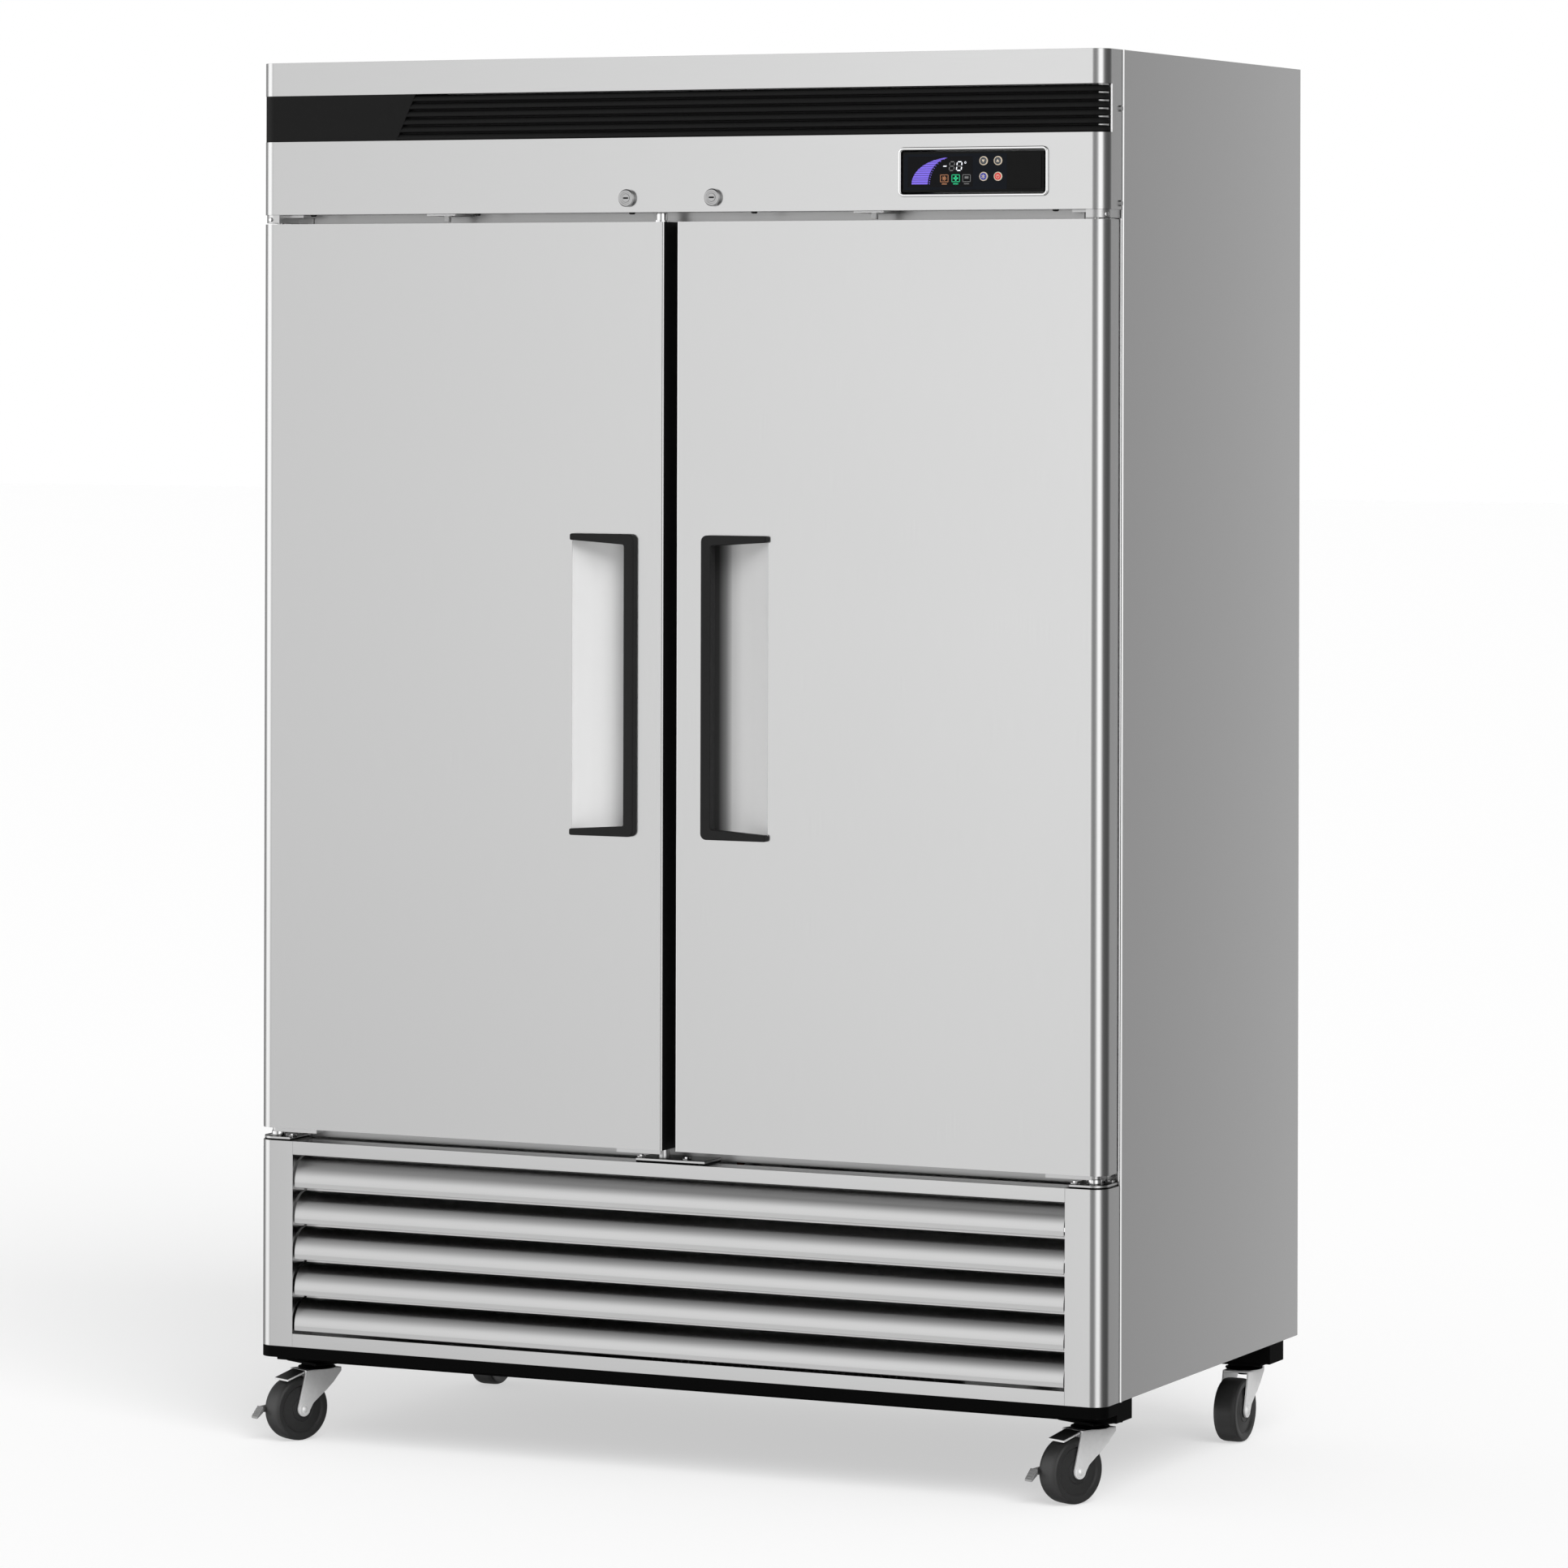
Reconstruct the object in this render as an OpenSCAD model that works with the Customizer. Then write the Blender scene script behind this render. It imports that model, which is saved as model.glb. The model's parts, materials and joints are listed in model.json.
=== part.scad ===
// Two-door reach-in refrigerator with a bottom condensing unit, on four casters.
// Millimetres, +Z up, front towards -Y, origin on the floor under the middle.

/* [Cabinet] */
// Width across the side panels
cabinet_w = 1380; // [1240:10:1560]
// Depth from the door fronts to the back panel
cabinet_d = 780; // [740:10:900]
// Thickness of the outer stainless sheet
sheet = 1.2; // [0.8:0.1:1.6]
// Thickness of an insulated wall, skin and liner included
wall_t = 58; // [54:1:75]
// Thickness of the inner liner sheet
liner_t = 1; // [0.6:0.1:1.5]
// Radius of the rounded vertical front corners
corner_r = 23; // [20:0.5:25]
// Width of the front return of a side panel
hem_w = 20; // [12:1:22]
// Outer bend radius of that return
hem_r = 5; // [3:0.5:8]
// Depth of the front frame bars
frame_d = 45; // [30:1:60]

/* [Header] */
// Height of the plain band above the louvre strip
header_cap_h = 50; // [40:1:80]
// Height of the louvre strip
louvre_h = 69; // [50:1:90]
// Height of the plain band below the louvre strip
header_low_h = 110; // [100:1:150]
// Number of louvre slats
slat_count = 6; // [4:1:8]
// Depth of the louvre slats behind the front plane
slat_d = 7; // [5:0.5:10]
// Distance from the middle to the slanted end of the plain name plate, at its foot
plate_x = 457; // [380:1:520]
// Lean of that slanted end over the strip height
plate_lean = 32; // [0:1:50]

/* [Controls] */
// Distance of the control panel centre from the right side of the cabinet
control_side = 206; // [170:0.5:290]
// Width of the control bezel
bezel_w = 235; // [225:1:250]
// Height of the control bezel
bezel_h = 72; // [66:1:80]
// Width of the bezel ring
bezel_rim = 7; // [5:0.5:8]
// Corner radius of the bezel
bezel_r = 9; // [7.5:0.5:14]
// How far the bezel stands in front of the header
bezel_proud = 3; // [2:0.5:6]
// Width of the display window
display_w = 105; // [90:1:108]
// Height of the display window
display_h = 50; // [44:1:52]
// Width of the plain cover beside the buttons
cover_w = 49; // [40:1:50]
// Diameter of a push button
button_d = 13; // [10:0.5:14]
// Spacing of the button columns
button_dx = 22.5; // [18:0.5:24]
// Spacing of the button rows
button_dz = 22.5; // [18:0.5:24]
// Height of the button block above the panel centre
button_rise = 4; // [0:0.5:5]
// Travel of a push button
button_travel = 1; // [0.5:0.1:1.5]

/* [Locks] */
// Distance of each lock from the middle of the cabinet
lock_x = 70; // [60:1:90]
// Height of the locks above the header's lower edge
lock_rise = 21; // [19:1:24]
// Diameter of the lock flange
lock_d = 26; // [22:1:30]
// How far the lock stands in front of the header
lock_proud = 7; // [4:0.5:10]
// Length of the lock cam from the plug's centre
cam_l = 40; // [38:0.5:42]

/* [Doors] */
// Height of a door
door_h = 1363; // [1200:1:1500]
// Thickness of a door without its gasket
door_t = 48; // [45:1:56]
// Gap between the two doors
door_gap = 20; // [12:1:26]
// Gap above the doors
upper_gap = 14; // [12:0.5:18]
// Gap below the doors
lower_gap = 19; // [17:0.5:24]
// Gap behind the doors that the gasket fills
gasket_gap = 14; // [12:0.5:18]
// Width of the gasket
gasket_w = 24; // [18:1:27]
// Depth of the raised panel on the inside of a door
panel_raise = 10; // [6:0.5:10]
// Diameter of the hinge pins
hinge_pin_d = 10; // [8:0.5:12]
// Thickness of the lower hinge plates
hinge_plate_t = 6; // [4:0.5:8]
// Length of the carrier bar under a door's corner
bar_l = 72; // [60:1:90]

/* [Handles] */
// Height of a handle
handle_h = 445; // [300:1:600]
// Width of a handle
handle_w = 109; // [95:1:140]
// Distance of a handle from the middle of the cabinet
handle_x = 55; // [45:1:80]
// Width of the grip bar
grip_w = 16; // [16:1:26]
// How far the handle stands in front of the door
handle_proud = 10; // [6:0.5:14]
// Depth of the finger pocket behind the grip bar
pocket_d = 34; // [28:1:36]

/* [Base] */
// Height of the grille section below the doors
grille_h = 310; // [280:1:340]
// Width of the corner posts
post_w = 60; // [50:1:80]
// Height of the grille's top and bottom rails
rail_h = 20; // [16:1:26]
// Depth of the grille rails and blades
blade_d = 40; // [30:1:46]
// Number of grille blades
blade_count = 5; // [4:1:6]
// Height of the straight lip under a blade's curve
blade_lip = 8; // [4:0.5:10]
// Height of the black front skirt
skirt_h = 17; // [12:1:24]
// Height of the base rails under the cabinet
base_h = 30; // [26:1:50]
// Width of the base rails, front to back
base_rail_d = 58; // [40:1:80]

/* [Casters] */
// Height from the floor to the base rails
caster_h = 118; // [114:1:140]
// Diameter of a wheel
wheel_d = 96; // [80:1:98]
// Width of a wheel
wheel_w = 36; // [24:1:36]
// Trail of the wheel behind its swivel axis
caster_trail = 38; // [24:1:40]
// Distance of the swivel axes from the cabinet sides
caster_side = 55; // [50:1:90]
// Distance of the front swivel axes from the front plane
caster_front = 85; // [80:1:120]
// Distance of the rear swivel axes from the back panel
caster_rear = 84; // [80:1:120]
// Turn of the front casters at rest
caster_turn = 25; // [0:1:40]
// Diameter of the axles
axle_d = 10; // [8:0.5:12]

/* [Interior] */
// Shelves in each half
shelf_count = 3; // [2:1:4]
// Height of the lowest shelf above the floor of the cabinet
shelf_first = 175; // [120:5:250]
// Spacing of the shelves
shelf_pitch = 315; // [260:5:340]
// Spacing of the shelf wires
wire_pitch = 34; // [24:1:50]
// Thickness of the shelf wires
wire_d = 5; // [4:0.5:7]

/* [Cooling] */
// Distance of the compressor to the left of the middle
compressor_side = 240; // [200:5:245]
// Distance from the compressor's middle to the condenser coil
condenser_lead = 160; // [150:5:200]
// Diameter of the compressor shell
compressor_d = 180; // [150:5:200]
// Height of the compressor shell
compressor_h = 210; // [170:5:230]
// Width of the condenser coil
condenser_w = 460; // [400:5:520]
// Height of the condenser coil
condenser_h = 240; // [200:5:250]
// Thickness of the condenser coil
condenser_t = 50; // [40:2:70]
// Diameter of the condenser fan
condenser_fan_d = 200; // [160:5:200]
// Width of the evaporator housing
evaporator_w = 620; // [560:5:700]
// Height of the evaporator housing
evaporator_h = 200; // [190:2:210]
// Diameter of the evaporator fan
evaporator_fan_d = 140; // [120:5:150]
// Diameter of the refrigerant tube
tube_d = 12; // [8:0.5:14]

/* [Hidden] */
$fn = 64;

// Small overlap that keeps a cut clear of a face
eps = 0.5;
// Clearance between soft or curved faces and their neighbours
soft_gap = 0.3;
// Radial clearance of pins and shafts that turn
run_gap = 0.05;
// Seam between neighbouring pieces of one assembly
seam = 0.2;

// Levels, from the floor up
body_z = caster_h + base_h;
grille_top_z = body_z + grille_h;
door_z = grille_top_z + lower_gap;
door_top_z = door_z + door_h;
header_z = door_top_z + upper_gap;
louvre_z = header_z + header_low_h;
louvre_top_z = louvre_z + louvre_h;
top_z = louvre_top_z + header_cap_h;

// Planes, from the front back
front_y = -cabinet_d / 2;
back_y = cabinet_d / 2;
frame_y = front_y + door_t + gasket_gap;
frame_back_y = frame_y + frame_d;
half_w = cabinet_w / 2;
inner_w = half_w - wall_t;

// Door opening and interior
hinge_x = half_w - corner_r;
hinge_y = front_y + corner_r;
gasket_edge = 1;
seal_edge = 4;
gasket_inset = corner_r + gasket_edge;
seal_land = gasket_inset + gasket_w + seal_edge;
opening_z = door_z + seal_land;
opening_top_z = door_top_z - seal_land;
mullion_w = door_gap + 2 * seal_land;
foam_z = opening_z - wall_t;
ceiling_z = top_z - wall_t;
liner_back_y = back_y - wall_t;
free_x = door_gap / 2;
free_r = 4;
door_mid_z = door_z + door_h / 2;

module both_sides() {
  for (side = [0, 1])
    mirror([side, 0, 0])
      children();
}

// A box between two corners
module block(low, high) {
  translate(low)
    cube(high - low);
}

// A rectangle with round corners, centred
module round_rect(w, h, r) {
  square([w - 2 * r, h], center = true);
  square([w, h - 2 * r], center = true);
  for (x = [-1, 1], y = [-1, 1])
    translate([x * (w / 2 - r), y * (h / 2 - r)])
      circle(r);
}

// Plan of a front shell from x0 to x1, with front corner radii r0 and r1, shrunk by inset
module front_plan(x0, x1, depth, r0, r1, inset) {
  translate([x0 + r0, front_y + inset])
    square([x1 - r1 - x0 - r0, depth - inset]);
  translate([x0 + inset, front_y + r0])
    square([r0 - inset, depth - r0]);
  translate([x1 - r1, front_y + r1])
    square([r1 - inset, depth - r1]);
  translate([x0 + r0, front_y + r0])
    circle(r0 - inset);
  translate([x1 - r1, front_y + r1])
    circle(r1 - inset);
}

module wide_plan(depth, inset) {
  front_plan(-half_w, half_w, depth, corner_r, corner_r, inset);
}

// Wall of the wide plan between two insets
module wide_wall(depth, outer, inner) {
  difference() {
    wide_plan(depth, outer);
    wide_plan(depth + eps, inner);
  }
}

// A cylinder along Y from y0 to y1
module y_rod(d, y0, y1) {
  translate([0, y0, 0])
    rotate([-90, 0, 0])
      cylinder(d = d, h = y1 - y0);
}

// A flat outline drawn in X and Z, standing from y0 back to y1
module upright(y0, y1) {
  translate([0, y1, 0])
    rotate([90, 0, 0])
      linear_extrude(y1 - y0)
        children();
}

// Cabinet shell

module side_plan() {
  corner = [half_w - hem_r, frame_y + hem_r];
  translate([half_w - sheet, corner.y])
    square([sheet, back_y - corner.y]);
  translate([half_w - hem_w, frame_y])
    square([hem_w - hem_r, sheet]);
  translate(corner)
    intersection() {
      difference() {
        circle(hem_r);
        circle(hem_r - sheet);
      }
      translate([0, -hem_r])
        square(hem_r);
    }
}

module side_panels() {
  color("silver")
    both_sides()
      translate([0, 0, body_z])
        linear_extrude(top_z - body_z)
          side_plan();
}

vent_rows = 6;
vent_pitch = 24;
vent_slot = [140, 7];
vent_r = 3;
vent_gap = 40;
vent_rise = 66;
vent_z = body_z + vent_rise;
// Columns of vents on each side of the middle one
vent_side = 2;

module back_panel() {
  color("lightgray")
    difference() {
      block([-half_w + sheet, back_y - sheet, body_z], [half_w - sheet, back_y, top_z - sheet]);
      for (row = [0:vent_rows - 1], col = [-vent_side:vent_side])
        translate([col * (vent_slot.x + vent_gap), 0, vent_z + row * vent_pitch])
          upright(back_y - sheet - eps, back_y + eps)
            round_rect(vent_slot.x, vent_slot.y, vent_r);
      translate([gland_x, 0, gland_z])
        y_rod(gland_d + 2 * soft_gap, back_y - sheet - eps, back_y + eps);
    }
}

// Plan of a sheet that lies between the side panels, notched at their front hems
module between_sides(rear_y) {
  difference() {
    translate([-half_w + sheet, frame_y])
      square([cabinet_w - 2 * sheet, rear_y - frame_y]);
    both_sides()
      translate([half_w - hem_w, frame_y - eps])
        square([hem_w, hem_r + eps]);
  }
}

module top_panel() {
  color("lightgray")
    translate([0, 0, top_z - sheet])
      linear_extrude(sheet)
        between_sides(back_y);
}

// Refrigerant riser, buried in the rear wall
compressor_x = -compressor_side;
riser_x = compressor_x;
riser_y = back_y - wall_t / 2;
riser_drop = 60;
riser_top_z = ceiling_z - riser_drop;
riser_bore = tube_d + 2 * soft_gap;

module riser_bores() {
  translate([riser_x, riser_y, foam_z - eps])
    cylinder(d = riser_bore, h = riser_top_z - foam_z + riser_bore);
  translate([riser_x, 0, riser_top_z])
    y_rod(riser_bore, liner_back_y - eps, riser_y + riser_bore / 2);
}

module insulation() {
  outer_x = half_w - sheet;
  liner_x = inner_w + liner_t;
  rear_y = liner_back_y + liner_t;
  foam_top_z = top_z - sheet;
  color("khaki") {
    both_sides()
      block([liner_x, frame_back_y, foam_z], [outer_x, back_y - sheet, foam_top_z]);
    difference() {
      block([-liner_x + seam, rear_y, foam_z], [liner_x - seam, back_y - sheet, foam_top_z]);
      riser_bores();
    }
    for (span = [[foam_z, opening_z - liner_t], [ceiling_z + liner_t, foam_top_z]])
      block([-liner_x + seam, frame_back_y, span[0]], [liner_x - seam, rear_y - seam, span[1]]);
  }
}

module inner_liner() {
  color("gainsboro")
    difference() {
      block([-inner_w - liner_t, frame_back_y, opening_z - liner_t],
        [inner_w + liner_t, liner_back_y + liner_t, ceiling_z + liner_t]);
      block([-inner_w, frame_back_y - eps, opening_z], [inner_w, liner_back_y, ceiling_z]);
      riser_bores();
    }
}

module front_frame() {
  stile_x = half_w - hem_w;
  color("silver") {
    both_sides()
      block([inner_w, frame_y, grille_top_z], [stile_x, frame_back_y, top_z - sheet]);
    block([-inner_w + seam, frame_y, grille_top_z], [inner_w - seam, frame_back_y, opening_z]);
    block([-inner_w + seam, frame_y, opening_top_z], [inner_w - seam, frame_back_y, top_z - sheet]);
    block([-mullion_w / 2, frame_y, opening_z + seam], [mullion_w / 2, frame_back_y, opening_top_z - seam]);
  }
}

// Header

control_x = half_w - control_side;
control_z = header_z + header_low_h / 2;
lock_z = header_z + lock_rise;
lock_flange = 3;
lock_body_d = lock_d - 2 * lock_flange;
window_w = bezel_w - bezel_rim;
window_h = bezel_h - bezel_rim;
window_r = bezel_r - bezel_rim / 2;
cam_w = 10;
cam_t = 3;
cam_gap = 1.5;
cam_set = 26;
cam_y = front_y + cam_set;
cam_reach = norm([cam_l, cam_w / 2]);

// Room that a lock's cam sweeps through at a level below the lock, on the right side
module cam_slot(z0, z1, drop) {
  reach = sqrt(cam_reach * cam_reach - drop * drop);
  block([lock_x - cam_w / 2 - cam_gap, cam_y - cam_gap, z0],
    [lock_x + reach + cam_gap, cam_y + cam_t + cam_gap, z1]);
}

module header_panel() {
  depth = frame_y - front_y;
  color("silver")
    difference() {
      union() {
        translate([0, 0, header_z])
          linear_extrude(top_z - header_z)
            wide_wall(depth, 0, sheet);
        for (z = [header_z, top_z - sheet])
          translate([0, 0, z])
            linear_extrude(sheet)
              wide_plan(depth, 0);
      }
      block([-half_w - eps, front_y - eps, louvre_z], [half_w + eps, hinge_y, louvre_top_z]);
      translate([control_x, 0, control_z])
        upright(front_y - eps, front_y + sheet + eps)
          round_rect(window_w, window_h, window_r);
      both_sides() {
        translate([lock_x, 0, lock_z])
          y_rod(lock_body_d + 2 * soft_gap, front_y - eps, front_y + sheet + eps);
        cam_slot(header_z - eps, header_z + sheet + eps, lock_rise);
      }
    }
}

slat_pitch = louvre_h / slat_count;
slat_face = 0.6;
slat_nose = slat_pitch * 0.2;
slat_top = slat_pitch * 0.82;
slat_lean = slat_d * 0.6;
louvre_back = 2;
louvre_rim = 4;

// Section of one slat: depth behind the front plane against height
function slat_points(sign) = [[slat_d, 0], [slat_face, 0], [slat_face, slat_nose],
  [slat_lean, slat_top], [slat_d, slat_top]] * [[sign, 0], [0, 1]];

// The band of the wide plan in front of the corner centres, between two insets
module louvre_band(outer, inner) {
  intersection() {
    wide_wall(frame_y - front_y, outer, inner);
    translate([-half_w, front_y])
      square([cabinet_w, corner_r]);
  }
}

// Face of the plain plate at the left end of the strip
module plate_face() {
  polygon([[-half_w - eps, louvre_z], [-plate_x, louvre_z],
    [-plate_x + plate_lean, louvre_top_z], [-half_w - eps, louvre_top_z]]);
}

module louvre_slat(z) {
  difference() {
    translate([-hinge_x, front_y, z])
      rotate([90, 0, 90])
        linear_extrude(2 * hinge_x)
          polygon(slat_points(1));
    upright(front_y - eps, front_y + slat_d + eps)
      plate_face();
  }
  translate([hinge_x, hinge_y, z])
    rotate([0, 0, -90])
      rotate_extrude(angle = 90)
        translate([corner_r, 0])
          polygon(slat_points(-1));
}

module header_louvre() {
  color("dimgray") {
    translate([0, 0, louvre_z - louvre_rim])
      linear_extrude(louvre_h + 2 * louvre_rim)
        louvre_band(slat_d, slat_d + louvre_back);
    for (z = [louvre_z - louvre_rim, louvre_top_z])
      translate([0, 0, z])
        linear_extrude(louvre_rim)
          louvre_band(sheet, slat_d + louvre_back);
    for (slat = [0:slat_count - 1])
      louvre_slat(louvre_z + slat * slat_pitch);
    intersection() {
      translate([0, 0, louvre_z])
        linear_extrude(louvre_h)
          louvre_band(slat_face, slat_d);
      upright(front_y, hinge_y)
        plate_face();
    }
  }
}

// Control panel

face_w = bezel_w - 2 * bezel_rim;
face_h = bezel_h - 2 * bezel_rim;
face_r = bezel_r - bezel_rim;
face_proud = 1;
face_set = 6;
face_front_y = front_y - face_proud;
face_back_y = front_y + face_set;
face_margin = 4;
recess_t = 2;
button_flange = 1;
button_flange_t = 1.4;
button_proud = 2;
button_gap = 0.1;
board_post = 3;
board_t = 1.6;
switch_d = 5;
board_y = face_back_y + soft_gap + button_flange_t + button_travel + board_post;
display_cx = control_x - face_w / 2 + face_margin + display_w / 2;
cover_cx = control_x + face_w / 2 - face_margin - cover_w / 2;
buttons_cx = (display_cx + display_w / 2 + cover_cx - cover_w / 2) / 2;
// Buttons in order: up, down, chill, power
function button_at(i) = [buttons_cx + (i % 2 - 0.5) * button_dx, 0,
  control_z + button_rise + (i < 2 ? 1 : -1) * button_dz / 2];

module control_bezel() {
  color("whitesmoke")
    translate([control_x, 0, control_z]) {
      upright(front_y - bezel_proud, front_y)
        difference() {
          round_rect(bezel_w, bezel_h, bezel_r);
          round_rect(face_w, face_h, face_r);
        }
      upright(front_y, face_back_y)
        difference() {
          round_rect(window_w, window_h, window_r);
          round_rect(face_w, face_h, face_r);
        }
    }
}

module control_face() {
  post_x = face_w / 2 - face_margin;
  post_z = face_h / 2 - face_margin;
  cover_size = [cover_w, display_h];
  color("black") {
    difference() {
      translate([control_x, 0, control_z])
        upright(face_front_y, face_back_y)
          round_rect(face_w, face_h, face_r);
      for (i = [0:3])
        translate(button_at(i))
          y_rod(button_d + 2 * button_gap, face_front_y - eps, face_back_y + eps);
      translate([display_cx, 0, control_z])
        upright(face_front_y - eps, face_front_y + recess_t)
          square([display_w, display_h], center = true);
    }
    translate([cover_cx, 0, control_z])
      upright(face_front_y - recess_t / 2, face_front_y)
        square(cover_size, center = true);
    for (x = [-1, 1], z = [-1, 1])
      translate([control_x + x * post_x, 0, control_z + z * post_z])
        y_rod(face_margin, face_back_y, board_y);
  }
}

module display_window() {
  color("midnightblue")
    translate([display_cx, 0, control_z])
      upright(face_front_y, face_front_y + recess_t)
        square([display_w, display_h], center = true);
}

module control_board() {
  color("darkgreen") {
    translate([control_x, 0, control_z])
      upright(board_y, board_y + board_t)
        square([face_w, face_h], center = true);
    for (i = [0:3])
      translate(button_at(i))
        y_rod(switch_d, board_y - board_post + soft_gap, board_y);
  }
}

module push_button(i) {
  flange_y = face_back_y + soft_gap;
  translate(button_at(i)) {
    y_rod(button_d, face_front_y - button_proud, flange_y);
    y_rod(button_d + 2 * button_flange, flange_y, flange_y + button_flange_t);
  }
}

module up_button() {
  color("royalblue")
    push_button(1);
}

module down_button() {
  color("royalblue")
    push_button(0);
}

module chill_button() {
  color("deepskyblue")
    push_button(2);
}

module power_button() {
  color("firebrick")
    push_button(3);
}

// Locks

plug_d = 12;
barrel_gap = 2;
barrel_back_y = cam_y - barrel_gap;
key_slot = [8, 1.6];
key_depth = 8;

module lock_barrels() {
  color("gainsboro")
    both_sides()
      translate([lock_x, 0, lock_z])
        difference() {
          union() {
            y_rod(lock_d, front_y - lock_proud, front_y);
            y_rod(lock_body_d, front_y, barrel_back_y);
          }
          y_rod(plug_d + 2 * run_gap, front_y - lock_proud - eps, barrel_back_y + eps);
        }
}

module lock_plug() {
  translate([lock_x, 0, lock_z]) {
    difference() {
      y_rod(plug_d, front_y - lock_proud, cam_y);
      upright(front_y - lock_proud - eps, front_y - lock_proud + key_depth)
        square(key_slot, center = true);
    }
    y_rod(cam_w, cam_y, cam_y + cam_t);
    block([0, cam_y, -cam_w / 2], [cam_l, cam_y + cam_t, cam_w / 2]);
  }
}

module right_lock_plug() {
  color("silver")
    lock_plug();
}

module left_lock_plug() {
  color("silver")
    mirror([1, 0, 0])
      lock_plug();
}

// Hinges

hinge_clear = 2;
hinge_pin_l = 24;
bush_d = 26;
bush_h = 30;
upper_block_w = 32;
upper_leaf_w = 62;
upper_leaf_t = 4;
lower_plate_w = 54;
rest_plate_w = 46;
rest_stud_d = 16;

// Plan of a hinge plate in the right corner, reaching in from the side by w
module hinge_plan(w) {
  intersection() {
    wide_plan(frame_y - front_y, hinge_clear);
    translate([half_w - w, front_y])
      square([w, frame_y - front_y]);
  }
}

module hinge_brackets() {
  upper_z = door_top_z + hinge_clear;
  lower_z = grille_top_z + hinge_plate_t;
  color("gray") {
    both_sides() {
      translate([0, 0, upper_z])
        linear_extrude(header_z - upper_z)
          hinge_plan(upper_block_w);
      block([half_w - upper_leaf_w, hinge_y, header_z - upper_leaf_t],
        [half_w - upper_block_w / 2, frame_y - seam, header_z - seam]);
      translate([hinge_x, hinge_y, upper_z - hinge_pin_l])
        cylinder(d = hinge_pin_d, h = hinge_pin_l);
      translate([0, 0, grille_top_z])
        linear_extrude(hinge_plate_t)
          hinge_plan(lower_plate_w);
      translate([hinge_x, hinge_y, lower_z])
        cylinder(d = hinge_pin_d, h = hinge_pin_l);
    }
    block([-free_x - rest_plate_w, hinge_y - rest_stud_d, grille_top_z],
      [free_x + rest_plate_w, frame_y, grille_top_z + hinge_plate_t]);
  }
}

screw_d = 9;
screw_h = 2.5;
screw_slot = [6, 1.4];

// A slotted round head standing on the XY plane
module screw_head() {
  difference() {
    cylinder(d = screw_d, h = screw_h);
    translate([0, 0, screw_h])
      cube([screw_slot.x, screw_slot.y, screw_h], center = true);
  }
}

screw_inset = 9;
back_screws = 6;

module panel_screws() {
  flange_y = frame_y - screw_inset;
  side_z = [header_z + screw_inset, louvre_z + louvre_h / 2];
  nut_x = [half_w - lower_plate_w + screw_inset, half_w - screw_inset];
  back_step = (top_z - body_z - 4 * screw_inset) / (back_screws - 1);
  color("dimgray")
    both_sides() {
      for (z = side_z)
        translate([half_w, flange_y, z])
          rotate([0, 90, 0])
            screw_head();
      for (x = nut_x)
        translate([x, flange_y, grille_top_z + hinge_plate_t])
          screw_head();
      for (i = [0:back_screws - 1])
        translate([half_w - 2 * screw_inset, back_y, body_z + 2 * screw_inset + i * back_step])
          rotate([-90, 0, 0])
            screw_head();
    }
}

switch_l = 48;
switch_set = 4;
switch_depth = frame_y - front_y - switch_set;
switch_body_h = 3;
switch_nose = 8;
switch_clear = 2;
// Each switch lies the same way along from its door's left edge
switch_x = 283;

module door_switches() {
  color("white")
    for (left_edge = [-half_w, free_x])
      translate([left_edge + switch_x, frame_y - switch_depth, header_z - switch_body_h]) {
        cube([switch_l, switch_depth, switch_body_h]);
        translate([switch_l / 2, switch_nose + switch_clear, switch_clear + switch_body_h - upper_gap])
          cube([switch_nose, switch_nose, upper_gap - switch_body_h - switch_clear]);
      }
}

// Doors: modelled on the right, mirrored for the left

pocket_near = 2;
pocket_far = 4;
pocket_end = 8;
finger_w = 10;
pocket_x = handle_x + pocket_near;
pocket_end_x = handle_x + handle_w - pocket_far;
pocket_flat = grip_w + finger_w;
pocket_end_d = 1;
pocket_h = handle_h - 2 * pocket_end;

// Plan of the finger pocket, grown by g on its buried sides
function pocket_points(g) = [[pocket_x - g, front_y - eps], [pocket_x - g, front_y + pocket_d + g],
  [pocket_x + pocket_flat + g / 2, front_y + pocket_d + g], [pocket_end_x + g, front_y + pocket_end_d + g],
  [pocket_end_x + g, front_y - eps]];

module pocket(g) {
  translate([0, 0, door_mid_z - pocket_h / 2 - g])
    linear_extrude(pocket_h + 2 * g)
      polygon(pocket_points(g));
}

module door_plan(depth, inset) {
  front_plan(free_x, half_w, depth, free_r, corner_r, inset);
}

module door_block(depth, inset) {
  translate([0, 0, door_z + inset])
    linear_extrude(door_h - 2 * inset)
      door_plan(depth, inset);
}

// Bores for the hinge bushes, from the ends of the door
module bush_bores() {
  for (z = [door_z - eps, door_top_z - bush_h])
    translate([hinge_x, hinge_y, z])
      cylinder(d = bush_d + 2 * run_gap, h = bush_h + eps);
}

strike_depth = 8;

module strike_slot() {
  cam_slot(door_top_z - strike_depth, door_top_z + eps, lock_rise + upper_gap);
}

module door_shell() {
  difference() {
    union() {
      difference() {
        door_block(door_t, 0);
        translate([0, 0, door_z + sheet])
          linear_extrude(door_h - 2 * sheet)
            door_plan(door_t + eps, sheet);
      }
      intersection() {
        pocket(sheet);
        door_block(door_t, 0);
      }
    }
    pocket(0);
    bush_bores();
    strike_slot();
  }
}

raise_gap = 6;
raise_inset = seal_land + raise_gap;

module raised_block(inset, y0, y1) {
  block([free_x + raise_inset + inset, y0, door_z + raise_inset + inset],
    [half_w - raise_inset - inset, y1, door_top_z - raise_inset - inset]);
}

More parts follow.
